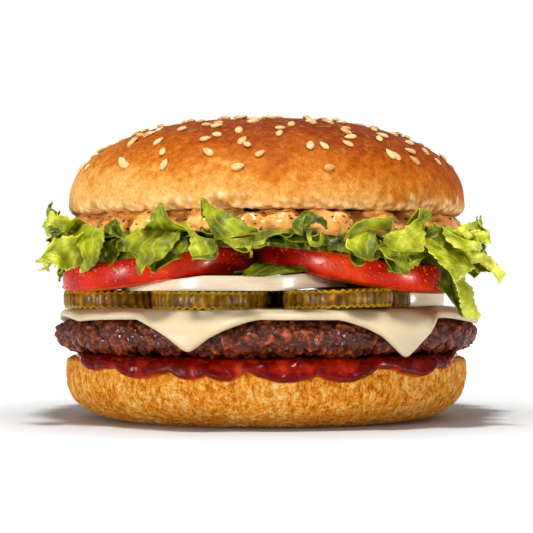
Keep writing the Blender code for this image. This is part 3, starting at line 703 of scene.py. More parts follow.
class Crown:
    """The top bun's dome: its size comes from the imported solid."""

    def __init__(self):
        low, high = node_box("bun_top")
        self.radius = (high.x - low.x) / 2
        self.base = low.z
        self.rise = high.z - low.z - 0.75

    def uneven(self, points):
        lift = smooth((points[..., 2] - self.base) / 10)
        swell = 1 + 0.007 * ring_noise(flat_azimuth(points), 7, 8.0) * lift
        bulge = 0.5 * noise(points * [1, 1, 0], 34, 5) * lift
        return np.stack([points[..., 0] * swell, points[..., 1] * swell, points[..., 2] + bulge], axis=-1)

    def profile(self, polar):
        """The dome's radius and height: polar is 0 at the peak and 1 where the dome is widest."""
        s, c = superellipse(np.asarray(polar) * math.pi / 2, CROWN_FULLNESS)
        return self.radius * s, self.base + CROWN_BULGE_HEIGHT + (self.rise - CROWN_BULGE_HEIGHT) * c

    def point(self, polar, azimuth):
        radius, height = self.profile(polar)
        return self.uneven(polar_points(np.asarray(azimuth), radius, height))

    def make(self):
        dome = list(zip(*self.profile(np.linspace(0, 1, 90))))
        s, c = superellipse(np.linspace(0, 1, 16)[1:] * math.pi / 2, 2.2)
        rim = list(zip(self.radius - 3.2 + 3.2 * c, self.base + CROWN_BULGE_HEIGHT * (1 - s)))
        foot = self.base + 0.2
        under = [(self.radius - 6, self.base + 0.1), (self.radius - 12, foot), (0, foot)]
        points = self.uneven(turned(resample(dome + rim, 132) + under, 640))
        normals = normals_of(points, True)
        azimuth = flat_azimuth(points)
        up = points[..., 2] - self.base
        ragged = 1.7 * ring_noise(azimuth, 22, 6) + 1.1 * ring_noise(azimuth, 60, 7)
        near_rim = smooth(1 - (up - 1.4 - ragged) / 2.4) * smooth((up + 0.8) / 1.2)
        first, second = clumps(points, 1.9, 3)
        grains = near_rim * np.clip(1.0 - 1.5 * first, -0.6, 1)
        wrinkle = noise(points * [1, 1, 0.3], 1.9, 4) * smooth(1 - up / 16)
        skin = 0.08 * fractal(points, 2.0, 3, 11) + 0.1 * wrinkle + 0.2 * fractal(points, 9, 2, 15)
        points = points + normals * (skin + 0.6 * grains)[..., None]
        # Painted light and shade: by x, the crust's colour level rises at the right and falls at the left.
        baked = np.clip(points[..., 0] / BAKED_SLOPE, -BAKED_MOST, BAKED_MOST)
        part = lattice(points, True, crumb=grains * 1.3, baked=baked)
        piece("bun_top_crust", [part], crown_paint(), "crown_crust", "bun_top")


def seed_shape():
    """A sesame seed along X: a flattened drop with one pointed end."""
    points, faces = ball(12, 16)
    points = points[:, [2, 0, 1]]
    along = points[:, 0]
    taper = 1 - 0.14 * (along + 1) - 0.22 * smooth((along - 0.2) / 0.8)
    points = points * [SEED_LENGTH / 2, SEED_WIDTH / 2, SEED_DEPTH / 2]
    points[:, 1:] *= taper[:, None]
    return points, faces


def make_seeds(crown):
    """The seeds of the solid and as many again between them: a sunflower spread with some disorder."""
    shape, faces = seed_shape()
    parts = []
    for i in [*range(SEED_COUNT), *(k + 0.5 for k in range(SEED_START, SEED_END))]:
        draw = random.Random(SEED_RANDOM + i)
        share = (i + 0.5) / SEED_COUNT
        reach = SEED_SPREAD * share**SEED_CROWDING + draw.uniform(-SEED_JITTER, SEED_JITTER)
        azimuth = i * SEED_TURN + draw.uniform(-0.16, 0.16)
        spin = draw.uniform(0, math.pi)
        s = (max(0.0, reach) / crown.radius) ** (CROWN_FULLNESS / 2)
        polar = math.asin(min(1.0, s)) * 2 / math.pi
        here = Vector(crown.point(polar, azimuth))
        outward = Vector(crown.point(polar + 0.01, azimuth)) - here
        across = Vector(crown.point(polar, azimuth + 0.01)) - here
        normal = outward.cross(across).normalized()
        if normal.z < 0:
            normal = -normal
        turn = normal.to_track_quat("Z", "Y").to_matrix() @ Matrix.Rotation(spin, 3, "Z")
        turn = turn @ Matrix.Rotation(draw.uniform(-0.2, 0.2), 3, "Y")
        centre = here + normal * draw.uniform(0.3, 0.5)
        points = shape * draw.uniform(0.88, 1.1) @ np.array(turn).T + np.array(centre)
        parts.append((points, faces, {"toast": np.full(len(points), draw.random())}))
    piece("sesame_seeds", parts, seed_paint(), "crown_crust")


# Layers that hang over what they lie on


def laid_over(outside, azimuth, reach, start, rows, evenness):
    """Runs from the start to the reach, their points on the skin and which way is outward there."""
    run = start + (reach - start) * np.linspace(0, 1, rows)[:, None] ** evenness
    points = polar_points(azimuth, *outside(run))
    return run, points, normals_of(points, True)


def draped(upper, lower, top, foot):
    """A layer's points from the middle of its top over its edge to the middle of its underside."""
    top_centre, foot_centre = (0 * upper[:1] + [0, 0, level] for level in (top, foot))
    return np.concatenate([top_centre, upper, lower[::-1], foot_centre])


# Ketchup


def heel_outside(run):
    """The skin over the heel that the ketchup lies on, by the distance run past the edge of its top."""
    low, high = node_box("bun_bottom")
    radius, top = (high.x - low.x) / 2, high.z
    slope = HEEL_CORNER * math.sqrt(2)
    share = np.clip(run / slope, 0, 1)
    side = radius + 0.1 - HEEL_CORNER * (1 - share) + np.minimum(run, 0)
    return side, top + 0.15 - HEEL_CORNER * share - np.maximum(run - slope, 0)


def ketchup_reach(azimuth):
    """How far the ketchup runs past the edge of the heel's top: in lobes, and short of it at the sides."""
    lobes = 0.0
    for place, depth, width in KETCHUP_LOBES:
        away = np.abs((np.degrees(azimuth) - place + 90) % 180 - 90)
        lobes = np.maximum(lobes, (depth - KETCHUP_EDGE) * (1 - (away / width) ** 2))
    side = smooth((np.abs(np.sin(azimuth)) - 0.83) / 0.16)
    reach = (KETCHUP_EDGE + lobes) * (1 - side) + KETCHUP_RETREAT * side
    return reach + 0.45 * ring_noise(azimuth, 40, 2) + 0.2 * ring_noise(azimuth, 110, 4)


def make_ketchup():
    azimuth = round_azimuths(900)
    reach = ketchup_reach(azimuth)
    run, inner, outward = laid_over(heel_outside, azimuth, reach, KETCHUP_START, 46, 0.8)
    from_lip = reach - run
    rounding = np.sqrt(1 - (1 - np.clip(from_lip / 1.1, 0, 1)) ** 2)
    bead = 1 + 0.3 * np.exp(-(((from_lip - 1.3) / 0.9) ** 2))
    body = 0.78 + 0.34 * fractal(inner, 5, 3, 21)
    thickness = KETCHUP_THICKNESS * np.clip(bead * body, 0.25, 1.5) * rounding
    upper = inner + outward * thickness[..., None]
    _, high = node_box("ketchup")
    points = draped(upper, inner, high.z, high.z - KETCHUP_THICKNESS)
    thin = np.clip(1.15 - thickness / 1.3, 0, 1)
    thin = np.concatenate([0 * thin[:1], thin, thin[::-1], 0 * thin[:1]])
    piece("ketchup_layer", [lattice(points, True, thin=thin)], ketchup_paint(), "ketchup", "ketchup")


# Patty and cheese


def make_patty():
    s, c = superellipse(np.linspace(0, 1, 40) * math.pi, 2.3)
    side = list(zip(PATTY_RADIUS - PATTY_EDGE + PATTY_EDGE * s, PATTY_HALF * c))
    profile = [(0, PATTY_HALF), (24, PATTY_HALF), (36, PATTY_HALF)]
    profile += resample([(PATTY_RIM, PATTY_HALF)] + side + [(PATTY_RIM + 2, -PATTY_HALF)], 88)
    points = turned(profile + [(30, -PATTY_HALF), (0, -PATTY_HALF)], 960)
    rim = smooth((flat_reach(points) - PATTY_RIM) / 8)
    normals = normals_of(points, True)
    bend = [noise(points, 4.5, k) + 0.5 * noise(points, 2.1, k + 5) for k in (31, 32, 33)]
    warped = points + 1.7 * np.stack(bend, axis=-1)
    first, second = clumps(warped * [1, 1, 0.8], 4.2, 2)
    small_first, small_second = clumps(warped, 1.6, 6)
    cleft = smooth((second - first) / 0.3)
    small_cleft = smooth((small_second - small_first) / 0.3)
    mound = (1 - first) * cleft
    grain = (1 - small_first) * small_cleft
    slump = fractal(points, 12, 2, 41)
    fine = fractal(points, 1.3, 2, 44)
    form = 1.1 * mound + 0.5 * grain + 0.9 * slump + 0.3 * fine - 1.0
    # Painted shade: low down in the crevices between the lumps, high on their tops.
    depth = np.clip(0.12 + 0.3 * cleft * mound + 0.45 * grain + 0.12 * fine, 0, 1)
    points = points + normals * (form * rim)[..., None]
    points[..., 2] += PATTY_MIDDLE
    piece("patty_crust", [lattice(points, True, deep=depth)], patty_paint(), "beef", "patty")


def patty_outside(run):
    """The skin over the patty that the cheese lies on, by the distance run past its shoulder."""
    reach = CHEESE_CLEAR_RADIUS - CHEESE_SHOULDER
    height = PATTY_HALF + 3 * GAP
    quarter = math.pi / 2 * math.sqrt((reach**2 + height**2) / 2)
    angle = np.clip(math.pi / 2 * run / quarter, 0, math.pi / 2)
    radius = CHEESE_SHOULDER + reach * np.sin(angle) + np.minimum(run, 0)
    return radius, PATTY_MIDDLE + height * np.cos(angle) - np.maximum(run - quarter, 0)


def cheese_reach(azimuth):
    reach = CHEESE_EDGE + 0.6 * ring_noise(azimuth, 10, 9.0) + 0.3 * ring_noise(azimuth, 30, 4.0)
    for corner, tip, width in CHEESE_CORNERS:
        away = np.abs((np.degrees(azimuth) - corner + 180) % 360 - 180)
        share = np.maximum(0.0, 1 - np.sqrt(away**2 + 1.2) / width)
        reach = reach + (tip - CHEESE_EDGE) * share**1.25
    return reach


def make_cheese():
    azimuth = round_azimuths(560)
    reach = cheese_reach(azimuth)
    run, inner, outward = laid_over(patty_outside, azimuth, reach, CHEESE_START, 44, 0.85)
    soft = 1 + 0.15 * fractal(inner, 9, 2, 17)
    rounding = np.sqrt(1 - np.clip((run - reach + 1.3) / 1.35, 0, 1) ** 2)
    sag = 0.25 * noise(inner, 6, 12)
    upper = inner + outward * (CHEESE_THICKNESS * soft * (0.06 + 0.94 * rounding) + sag * 0.6)[..., None]
    lower = inner + outward * (sag * 0.3)[..., None]
    level = PATTY_MIDDLE + PATTY_HALF + 3 * GAP
    points = draped(upper, lower, level + CHEESE_THICKNESS, level)
    piece("cheese_slice", [lattice(points, True)], cheese_paint(), "cheese", "cheese")


# Round slices


def slice_box(node):
    """The radius and the middle of a round slice."""
    low, high = node_box(node)
    return (high.x - low.x) / 2, (high.x + low.x) / 2, (high.y + low.y) / 2


def slice_points(radius, half, columns):
    """A flat round slice of this radius and half thickness, round at its rim."""
    edge = min(0.6, half)
    s, c = superellipse(np.linspace(0, 1, 16) * math.pi, 5)
    side = list(zip(radius - edge + edge * s, half * c))
    faces = [(radius * share, half) for share in (0, 0.3, 0.5, 0.65, 0.76, 0.84, 0.9, 0.94, 0.965)]
    return turned(faces + side + [(r, -half) for r, z in reversed(faces)], columns)


def near_rim(points, radius, width):
    """0 on a round slice's faces and 1 on its side, with this much of the faces in between."""
    return smooth((flat_reach(points) - radius + width) / 0.5)


def make_pickle(node, paint, draw):
    low, high = node_box(node)
    radius = (high.x - low.x + high.y - low.y) / 4 - 0.2
    centre = (low + high) / 2
    points = slice_points(radius, PICKLE_HALF, 300)
    azimuth = flat_azimuth(points)
    lean = draw.uniform(0, math.pi)
    along = points[..., 0] * math.cos(lean) + points[..., 1] * math.sin(lean)
    on_side = near_rim(points, radius, 0.9)
    scallops = round(math.tau * radius / CRINKLE)
    scallop = np.sin(azimuth * scallops + 3.0 * ring_noise(azimuth, 14, centre.y))
    share = points[..., 2] / PICKLE_HALF
    crinkle = 0.25 * np.sin(along * math.tau / CRINKLE) * (1 - on_side)
    crinkle = crinkle + 0.35 * scallop * on_side * share**2
    soft = 0.25 * fractal(points, 5, 2, 8)
    lift = crinkle + soft * (1 - on_side) * np.sign(share)
    swell = on_side * (0.06 * scallop + 0.25 * (1 - share**2) + 0.2 * soft)
    swell = swell + 0.25 * ring_noise(azimuth, 6, centre.x)
    flat = points[..., :2] * (1 + swell / radius)[..., None]
    tilt = (high.z - low.z - 2 * PICKLE_HALF) / (2 * radius)
    tall = points[..., 2] + lift + tilt * (points[..., 0] + radius)
    points = np.concatenate([flat, tall[..., None]], axis=-1) + [centre.x, centre.y, low.z + PICKLE_HALF]
    rim = np.maximum(1 - on_side, smooth((np.abs(share) - 0.72) / 0.22))
    # The rib fact follows the scallops, for the painted shade of the crinkles.
    part = lattice(points, True, rim=rim, rib=0.5 + 0.2 * scallop)
    piece(node + "_chip", [part], paint, "pickle", node)


def tomato_foot(node, x):
    """The height of a tomato slice's underside at this x: it leans on the slices towards the middle."""
    outer_x, inner_x, lift = TOMATO_FEET[node]
    return TOMATO_OUTER_LEVEL + lift * smooth((x - outer_x) / (inner_x - outer_x))


def tomato_level(node, x, share):
    """The height in a tomato slice at this x, from its underside at share 0 to its top at 1."""
    radius, x0, _ = slice_box(node)
    outward = (1 + math.copysign(1, x0) * (x - x0) / radius) / 2
    thickness = TOMATO_THIN_SIDE + (TOMATO_THICKNESS - TOMATO_THIN_SIDE) * outward
    return tomato_foot(node, x) + share * thickness


def make_tomato(node, paint):
    radius, x0, y0 = slice_box(node)
    radius -= 0.1
    points = slice_points(radius, 0.5, 280)
    azimuth = flat_azimuth(points)
    on_side = near_rim(points, radius, 0.7)
    swell = 0.35 * ring_noise(azimuth, 6, x0) + 0.15 * ring_noise(azimuth, 17, x0 + 3)
    bulge = 0.45 * (1 - (points[..., 2] / 0.5) ** 2) * on_side
    flat = points[..., :2] * (1 + (swell + bulge) / radius)[..., None]
    wet = 0.12 * fractal(points * [1, 1, 5], 5, 2, 27) * (1 - on_side)
    x = x0 + flat[..., 0]
    sag = SAG * smooth((radius - flat_reach(points) - 1) / 3) * (points[..., 2] < 0)
    z = tomato_level(node, x, points[..., 2] + 0.5) + wet - sag
    points = np.stack([x, y0 + flat[..., 1], z], axis=-1)
    piece(node + "_slice", [lattice(points, True, flesh=1 - on_side)], paint, "tomato", node)


def make_drops():
    """Beads of juice on the sides of the tomato slices, close together in some places."""
    draw = random.Random(5)
    shape, faces = ball(6, 10)
    parts = []
    for node in TOMATO_FEET:
        radius, x0, y0 = slice_box(node)
        radius += 0.25
        facing = math.pi if "back" in node else 0.0
        crowds = [(turn + draw.uniform(-0.15, 0.15), draw.uniform(0.35, 0.7)) for turn in DROP_CROWDS]
        for i in range(DROPS_A_SLICE):
            turn, share = draw.uniform(-2.0, 2.0), draw.uniform(0.1, 0.9)
            if i % 2:
                turn, share = crowds[i % 3]
                turn += draw.gauss(0, 0.14)
                share = min(0.92, max(0.08, share + draw.gauss(0, 0.2)))
            size = 0.12 + 0.3 * draw.random() ** 3
            x = x0 + radius * math.sin(turn + facing)
            y = y0 - radius * math.cos(turn + facing)
            z = tomato_level(node, x, share)
            parts.append((shape * size * [1, 1, draw.uniform(0.95, 1.35)] + [x, y, z], faces, {}))
    piece("tomato_drops", parts, drop_paint(), "tomato")


def front_onion_foot(x):
    return ONION_LEVEL + 1.0 * smooth((x - 1) / 16)


def front_onion_roof(x):
    left = tomato_foot("tomato_left", x)
    return left + (tomato_foot("tomato_right", x) - left) * smooth((x + 3.5) / 4)


def back_onion_roof(x):
    return np.minimum(tomato_foot("tomato_back_left", x - 3), tomato_foot("tomato_back_right", x + 3))


def level_at(height):
    return lambda x: height + 0 * x


ONION_SPACES = {
    "onion_front": (front_onion_foot, front_onion_roof),
    "onion_back": (level_at(ONION_LEVEL), back_onion_roof),
    "onion_right": (level_at(PICKLE_BASE), level_at(ONION_LEVEL)),
}


def make_onion(node, paint):
    foot, roof = ONION_SPACES[node]
    radius, x0, y0 = slice_box(node)
    points = slice_points(radius, 0.5, 260)
    place = flat_reach(points) / ONION_RING + 0.12 * ring_noise(flat_azimuth(points), 5, x0)
    ring = np.abs(place % 1 - 0.5) * 2
    on_side = near_rim(points, radius, 0.7)
    groove = 0.3 * smooth((ring - 0.75) / 0.25) * (1 - on_side)
    x, y = x0 + points[..., 0], y0 + points[..., 1]
    bottom = foot(x)
    top = np.minimum(bottom + ONION_THICKNESS, roof(x) - GAP)
    z = bottom + (points[..., 2] + 0.5) * (top - bottom) - groove * np.sign(points[..., 2])
    part = lattice(np.stack([x, y, z], axis=-1), True, ring=smooth((ring - 0.6) / 0.4))
    piece(node + "_slice", [part], paint, "onion", node)


# Lettuce

# Each leaf: the height of its layer, the radius where it starts to climb or hang, its first and last
# azimuth inside the burger, and the azimuth, reach and height of each crest and tip of its frilled edge
LEAVES = {
    "lettuce_left_high": (HIGH_LAYER, 57.5, (-106, -62), (
        (-107, 62, 54.0), (-99, 64, 50.5), (-92, 61, 56.5), (-86, 64, 53.0), (-80, 61, 57.2),
        (-76, 63, 58.4), (-74, 66, 54.2), (-71, 64, 52.2), (-66, 62, 53.0), (-59, 60, 56.0))),
    "lettuce_left_low": (LOW_LAYER, 59.0, (-82, -46), (
        (-84, 62, 46.5), (-76, 64, 50.0), (-70, 67, 47.6), (-66, 69, 44.8), (-62, 68, 41.9),
        (-58, 65, 44.2), (-52, 64, 41.2), (-48, 62, 45.2), (-44, 61, 49.0))),
    "lettuce_front_left_low": (LOW_LAYER, 57.0, (-44, -15), (
        (-43, 62, 46.5), (-39, 64, 43.4), (-36, 63, 48.5), (-33, 65, 46.0), (-30, 66, 40.8),
        (-26, 65, 44.2), (-22, 63, 47.8), (-17, 65, 45.2), (-13, 64, 46.5))),
    "lettuce_front_left_high": (HIGH_LAYER, 58.0, (-58, -19), (
        (-55, 62, 55.5), (-50, 65, 51.0), (-44, 63, 54.6), (-38, 63, 53.2), (-33, 64, 51.5),
        (-29, 62, 54.5), (-26.3, 62, 59.0), (-23, 63, 54.8), (-19, 65, 50.8))),
    "lettuce_front_low": (LOW_LAYER, 57.0, (-13, 14), (
        (-11, 64, 49.2), (-7, 65, 48.0), (-3.5, 66, 45.6), (0, 64, 48.6), (5, 63, 49.6),
        (10, 65, 47.8), (13, 64, 49.2))),
    "lettuce_front_high": (HIGH_LAYER, 58.0, (-17, 14), (
        (-16, 62, 59.2), (-13, 65, 53.5), (-11, 66, 51.2), (-7, 64, 53.8), (-2, 63, 52.0),
        (3, 64, 51.6), (7, 62, 55.0), (10, 62, 56.6), (13.5, 64, 52.5))),
    "lettuce_front_right_low": (LOW_LAYER, 59.5, (16, 43), (
        (16, 63, 48.2), (20, 65, 45.6), (23.5, 67, 44.0), (27, 65, 47.2), (31, 66, 44.6),
        (34.5, 67, 40.6), (39, 66, 43.6), (43, 64, 47.5))),
    "lettuce_front_right_high": (HIGH_LAYER, 58.0, (17, 44), (
        (16, 63, 52.2), (20, 64, 54.6), (24, 66, 50.8), (28, 63, 54.8), (32, 66, 50.4),
        (36, 66, 52.0), (41, 62, 57.6), (44, 65, 52.4))),
    "lettuce_right_high": (HIGH_LAYER, 58.5, (47, 98), (
        (47, 62, 54.2), (52, 69, 55.0), (55, 75, 51.6), (57, 70, 48.6), (62, 72, 45.0),
        (67, 71, 42.4), (70, 68, 48.0), (77, 64, 54.5), (84, 66, 50.0), (91, 63, 55.5), (98, 65, 51.5))),
    "lettuce_right_low": (LOW_LAYER, 61.5, (46, 55), (
        (45, 63, 45.6), (47, 66, 40.0), (49.5, 69, 34.0), (52.5, 70, 29.6), (53, 70.5, 35.0),
        (53.5, 69, 41.0), (55.5, 66, 46.0))),
}
BACK_LEAVES = {
    "lettuce_back_left_high": (HIGH_LAYER, 109, 164, 4),
    "lettuce_back_right_high": (HIGH_LAYER, 172, 244, 5),
    "lettuce_back_left_low": (LOW_LAYER, 74, 150, 4),
    "lettuce_back_right_low": (LOW_LAYER, 158, 270, 5),
}
BACK_RISE = 58.5
LEAF_CREST = 5.4
LEAF_RANDOM = 7
# The lobes that hang or stand out of each leaf at the front, as rows from root to tip: x and z of one edge
# and of the other, as seen in the burger's middle plane, and how far out the row lies
LOBES = {
    "lettuce_left_high": (
        ((-54, 57, -56.5, 52, 62), (-56.5, 57, -58.5, 53.5, 67), (-58.5, 58, -61, 55, 70),
         (-61, 58, -63, 55.5, 72), (-62.5, 59.5, -65, 55, 71)),
        ((-62.5, 56, -64, 55.5, 71.5), (-63, 54, -64, 53.5, 71), (-63, 52, -63.5, 52, 70)),
        ((-47, 53.5, -42, 51.5, 62), (-46.5, 55.5, -42, 53, 61), (-45, 56.5, -42, 54.5, 61),
         (-44, 57.5, -43, 56.5, 60)),
    ),
    "lettuce_left_low": (
        ((-52, 53.5, -53, 44.5, 62), (-55.5, 52, -56, 43, 67), (-58.5, 52, -58.5, 42.5, 70),
         (-61.5, 51, -61.5, 44, 72), (-63.5, 49, -64, 45, 73), (-65, 46.5, -65.5, 44.5, 73.5),
         (-67, 45, -67, 44.5, 73)),
        ((-62, 46.5, -65, 46, 72.5), (-63.5, 45.5, -65, 44.5, 72.5), (-63.5, 44, -64.5, 43.5, 72),
         (-63, 42, -63.5, 42, 71)),
        ((-55, 56.5, -46.5, 53.5, 60), (-56.5, 54, -47, 52, 63), (-55.5, 51, -47.5, 50, 66),
         (-54, 48, -48.5, 47.5, 66.5), (-53, 45.5, -49, 45, 66), (-54, 43, -51, 43, 65),
         (-54, 41.5, -53, 41.5, 64)),
        ((-48.5, 51.5, -42, 51, 58), (-48.5, 48, -42.5, 48, 60), (-47.5, 46, -43.5, 46, 61),
         (-46, 44.5, -44.5, 44.5, 61), (-45.5, 43.5, -45, 43.5, 61)),
    ),
    "lettuce_front_left_high": (
        ((-36, 54, -22, 53.5, 57), (-34.5, 55.5, -25.5, 55, 60), (-33, 58.5, -28.5, 57.5, 61.5),
         (-32, 60.5, -29.5, 60, 61), (-31, 62, -30, 61.5, 60.5)),
        ((-28.5, 56, -23.5, 56, 58), (-25.5, 55.5, -21.5, 54, 61), (-23, 54, -19.5, 52, 63.5),
         (-22, 51.5, -15.5, 51, 64.5), (-22, 50, -15, 49.5, 65), (-22.5, 48, -14.5, 48.5, 65),
         (-21, 46.5, -16, 47, 64)),
    ),
    "lettuce_front_left_low": (
        ((-39, 47.5, -43, 48, 61), (-37, 50, -43.5, 50, 63), (-36.5, 53, -42, 51.5, 62),
         (-37.5, 54.5, -40.5, 52, 60)),
        ((-36, 54, -25, 53.5, 58), (-38, 51.5, -25.5, 51.5, 62), (-40, 48.5, -27.5, 49, 65),
         (-38.5, 47, -29.5, 46.5, 65.5), (-37.5, 45, -33, 44.5, 65), (-37.5, 43, -35, 43.5, 65),
         (-37, 41, -36.5, 41, 64.5)),
        ((-29, 52.5, -21.5, 52, 57), (-28.5, 50, -21.5, 49.5, 60), (-28, 48, -23, 48, 61),
         (-26, 47, -24, 47.5, 61)),
    ),
    "lettuce_front_high": (
        ((-19, 63, -18, 62.5, 61), (-18.5, 61, -15.5, 60.5, 61), (-18, 59, -12.5, 59.5, 61.5),
         (-17.5, 57, -10.5, 59, 62.5), (-16.5, 55, -7.5, 57, 64), (-15.5, 53, -5, 55, 64.5),
         (-14.5, 51, -1.5, 53.5, 63)),
        ((7.5, 55, 8.5, 53.5, 61), (9.5, 57.5, 10.5, 53.5, 62), (10.5, 59, 12, 55.5, 61.5),
         (12.5, 59.5, 14, 56, 61), (14.5, 58.5, 15, 56, 61), (16, 57.5, 16.5, 55, 61),
         (17.5, 56.5, 17.5, 54.5, 60)),
        ((11.5, 59, 8.5, 57, 61), (10.5, 55.5, 7.5, 55, 63), (10.5, 53.5, 8.5, 53.5, 63.5),
         (10.5, 52.5, 9.5, 52.5, 63)),
        ((13, 54, 11.5, 53.5, 62), (13, 51.5, 12, 51, 64), (14, 50.5, 13, 49.5, 65),
         (15, 50.5, 15.5, 49.5, 65), (15.5, 51.5, 16.5, 51.5, 64), (15.5, 53, 16.5, 53.5, 62)),
    ),
    "lettuce_front_low": (
        # The first lobe is a low curtain of leaf behind the front tomato slice, dark with painted shade.
        ((-6, 53, 28, 50, 50), (-6, 52, 28, 48.5, 51), (-5, 50, 27, 46.5, 51)),
        ((-13, 51.5, -13, 51, 62), (-10.5, 51.5, -9.5, 49, 64), (-7.5, 51.5, -7.5, 49, 65),
         (-4.5, 52, -4, 49.5, 65.5), (-1.5, 53.5, -1, 50, 65), (0.5, 54, 0.5, 52, 64),
         (4, 54, 4.5, 53, 62.5), (9, 53.5, 9, 53, 61)),
        ((-7.5, 51, -4, 51, 64), (-6, 49, -4.5, 49, 66), (-5, 48, -4.5, 48, 66), (-4.5, 47, -4, 47, 65.5)),
        ((9.5, 54, 9.5, 51, 56), (16, 54, 16, 50, 57), (18.5, 53, 18.5, 48.5, 58),
         (21, 52.5, 21.5, 48, 60), (23.5, 52, 24.5, 47.5, 62)),
    ),
    "lettuce_front_right_high": (
        ((22.5, 51, 23.5, 50, 63), (23.5, 53, 25, 52, 63), (25.5, 55.5, 27, 53.5, 62.5),
         (27.5, 56.5, 29, 54, 62), (29.5, 57, 31.5, 54, 62), (33, 57.5, 34, 54, 61.5),
         (35, 57.5, 36, 54, 61), (36.5, 58, 36, 55.5, 60.5)),
        ((25.5, 54, 32.5, 54.5, 59), (23.5, 51.5, 31.5, 52, 63), (23, 49.5, 32, 50.5, 65),
         (24.5, 48, 32, 48.5, 66), (26, 46.5, 31, 47, 66), (28.5, 45.5, 31, 46, 65.5),
         (30.5, 45, 31, 45, 65)),
        ((44, 60, 47, 59.5, 61), (44, 57.5, 47.5, 57, 61.5), (42, 56, 45, 55, 63),
         (39.5, 54, 46, 52.5, 65), (35.5, 53, 45.5, 50, 66), (34, 51, 45.5, 48, 66),
         (36.5, 48, 41.5, 47.5, 65)),
    ),
    "lettuce_front_right_low": (
        ((32.5, 49.5, 46.5, 49, 60), (34.5, 46.5, 45, 46.5, 63), (37.5, 44.5, 42.5, 44.5, 65),
         (38.5, 42.5, 41.5, 43, 65.5), (39.5, 41, 41, 41, 65)),
        ((41.5, 46.5, 45.5, 46.5, 62), (42, 44.5, 44.5, 45, 64), (43.5, 43.5, 44, 43.5, 64)),
        ((30.5, 52, 30.5, 46.5, 57), (34, 51.5, 34, 46, 58), (37.5, 51, 37.5, 46, 58)),
    ),
    "lettuce_right_high": (
        ((44, 54.5, 45.5, 48, 59), (46.5, 55, 48, 48, 61), (48.5, 55.5, 50.5, 48, 62.5),
         (51, 54.5, 53.5, 47.5, 63.5)),
        ((50.5, 55, 55.5, 54.5, 62), (51.5, 53, 57.5, 52, 66), (52.5, 51, 59.5, 51, 69),
         (55, 49, 62, 50, 71), (57.5, 48, 62, 48, 71)),
        ((55, 54, 56.5, 51.5, 66), (57, 55.5, 58, 51, 68), (59, 56, 60, 51.5, 69), (61, 56.5, 61, 54, 69)),
        ((59, 53.5, 60, 50.5, 69), (61, 54, 62, 50.5, 71), (63, 53.5, 63.5, 50.5, 72),
         (64.5, 54, 65, 50, 73)),
        ((52, 50, 51.5, 46, 63), (56, 48.5, 56, 44.5, 67), (59, 48, 59, 44, 70),
         (62, 47.5, 61.5, 44.5, 72), (64, 46.5, 63, 43.5, 73), (65.5, 45.5, 65, 42, 74),
         (67.5, 43, 66.5, 40.5, 75), (69.5, 41.5, 67.5, 38.5, 76)),
    ),
    "lettuce_right_low": (
        ((44, 52, 52.5, 52, 60), (46.5, 48.5, 55, 48, 65), (49, 46, 58.5, 45.5, 69),
         (51, 43.5, 60, 43, 71), (53, 42, 58, 41.5, 70), (54.5, 39.5, 56, 39.5, 69)),
        ((53, 42, 57, 41, 67), (54.5, 39, 57.5, 39, 69), (55.5, 36.5, 59.5, 37, 70), (56, 34, 60, 34, 71),
         (56.5, 31.5, 61, 31.5, 71.5), (58, 28, 62, 28.5, 72)),
    ),
}
LOBE_ROOT = 51.0
SIDE_SHARE = 0.71  # a lobe whose x is more than this share of its radius stands at the side
SIDE_ROOT = 0.87  # and starts at this share of the radius
FRONT_LIMIT = 70.0  # past this azimuth the photograph shows no lobe apart
SIDE_REACH = 62.0
BACK_REACH = 68.0
FRILL_ROOT = 58


def add_back_leaves():
    """The frilled edges at the back, made by the same rule as the solids'."""
    draw = random.Random(LEAF_RANDOM)
    for name, (layer, first, last, crests) in BACK_LEAVES.items():
        edge = []
        for i in range(2 * crests + 1):
            azimuth = first + (last - first) * (i + draw.uniform(-0.25, 0.25)) / (2 * crests)
            crest = i % 2
            if layer == HIGH_LAYER:
                height = layer + (LEAF_CREST if crest else -0.6) + draw.uniform(-1.0, 0.8)
            else:
                height = layer - (3.4 if crest else 3.4 + LEAF_CREST) + draw.uniform(-1.0, 1.0)
            edge.append((azimuth, (62.8 if crest else 66.8) + draw.uniform(-0.8, 0.8), height))
        LEAVES[name] = (layer, BACK_RISE, (first, last), tuple(edge))


def veins(across, along):
    """How near each place is to the rib or a side vein, from its distances in millimetres."""
    side = (along * 0.8 - np.abs(across)) % VEIN_SPACING - VEIN_SPACING / 2
    return np.maximum(np.exp(-((across / 0.4) ** 2)), 0.65 * np.exp(-((side / 0.28) ** 2)))


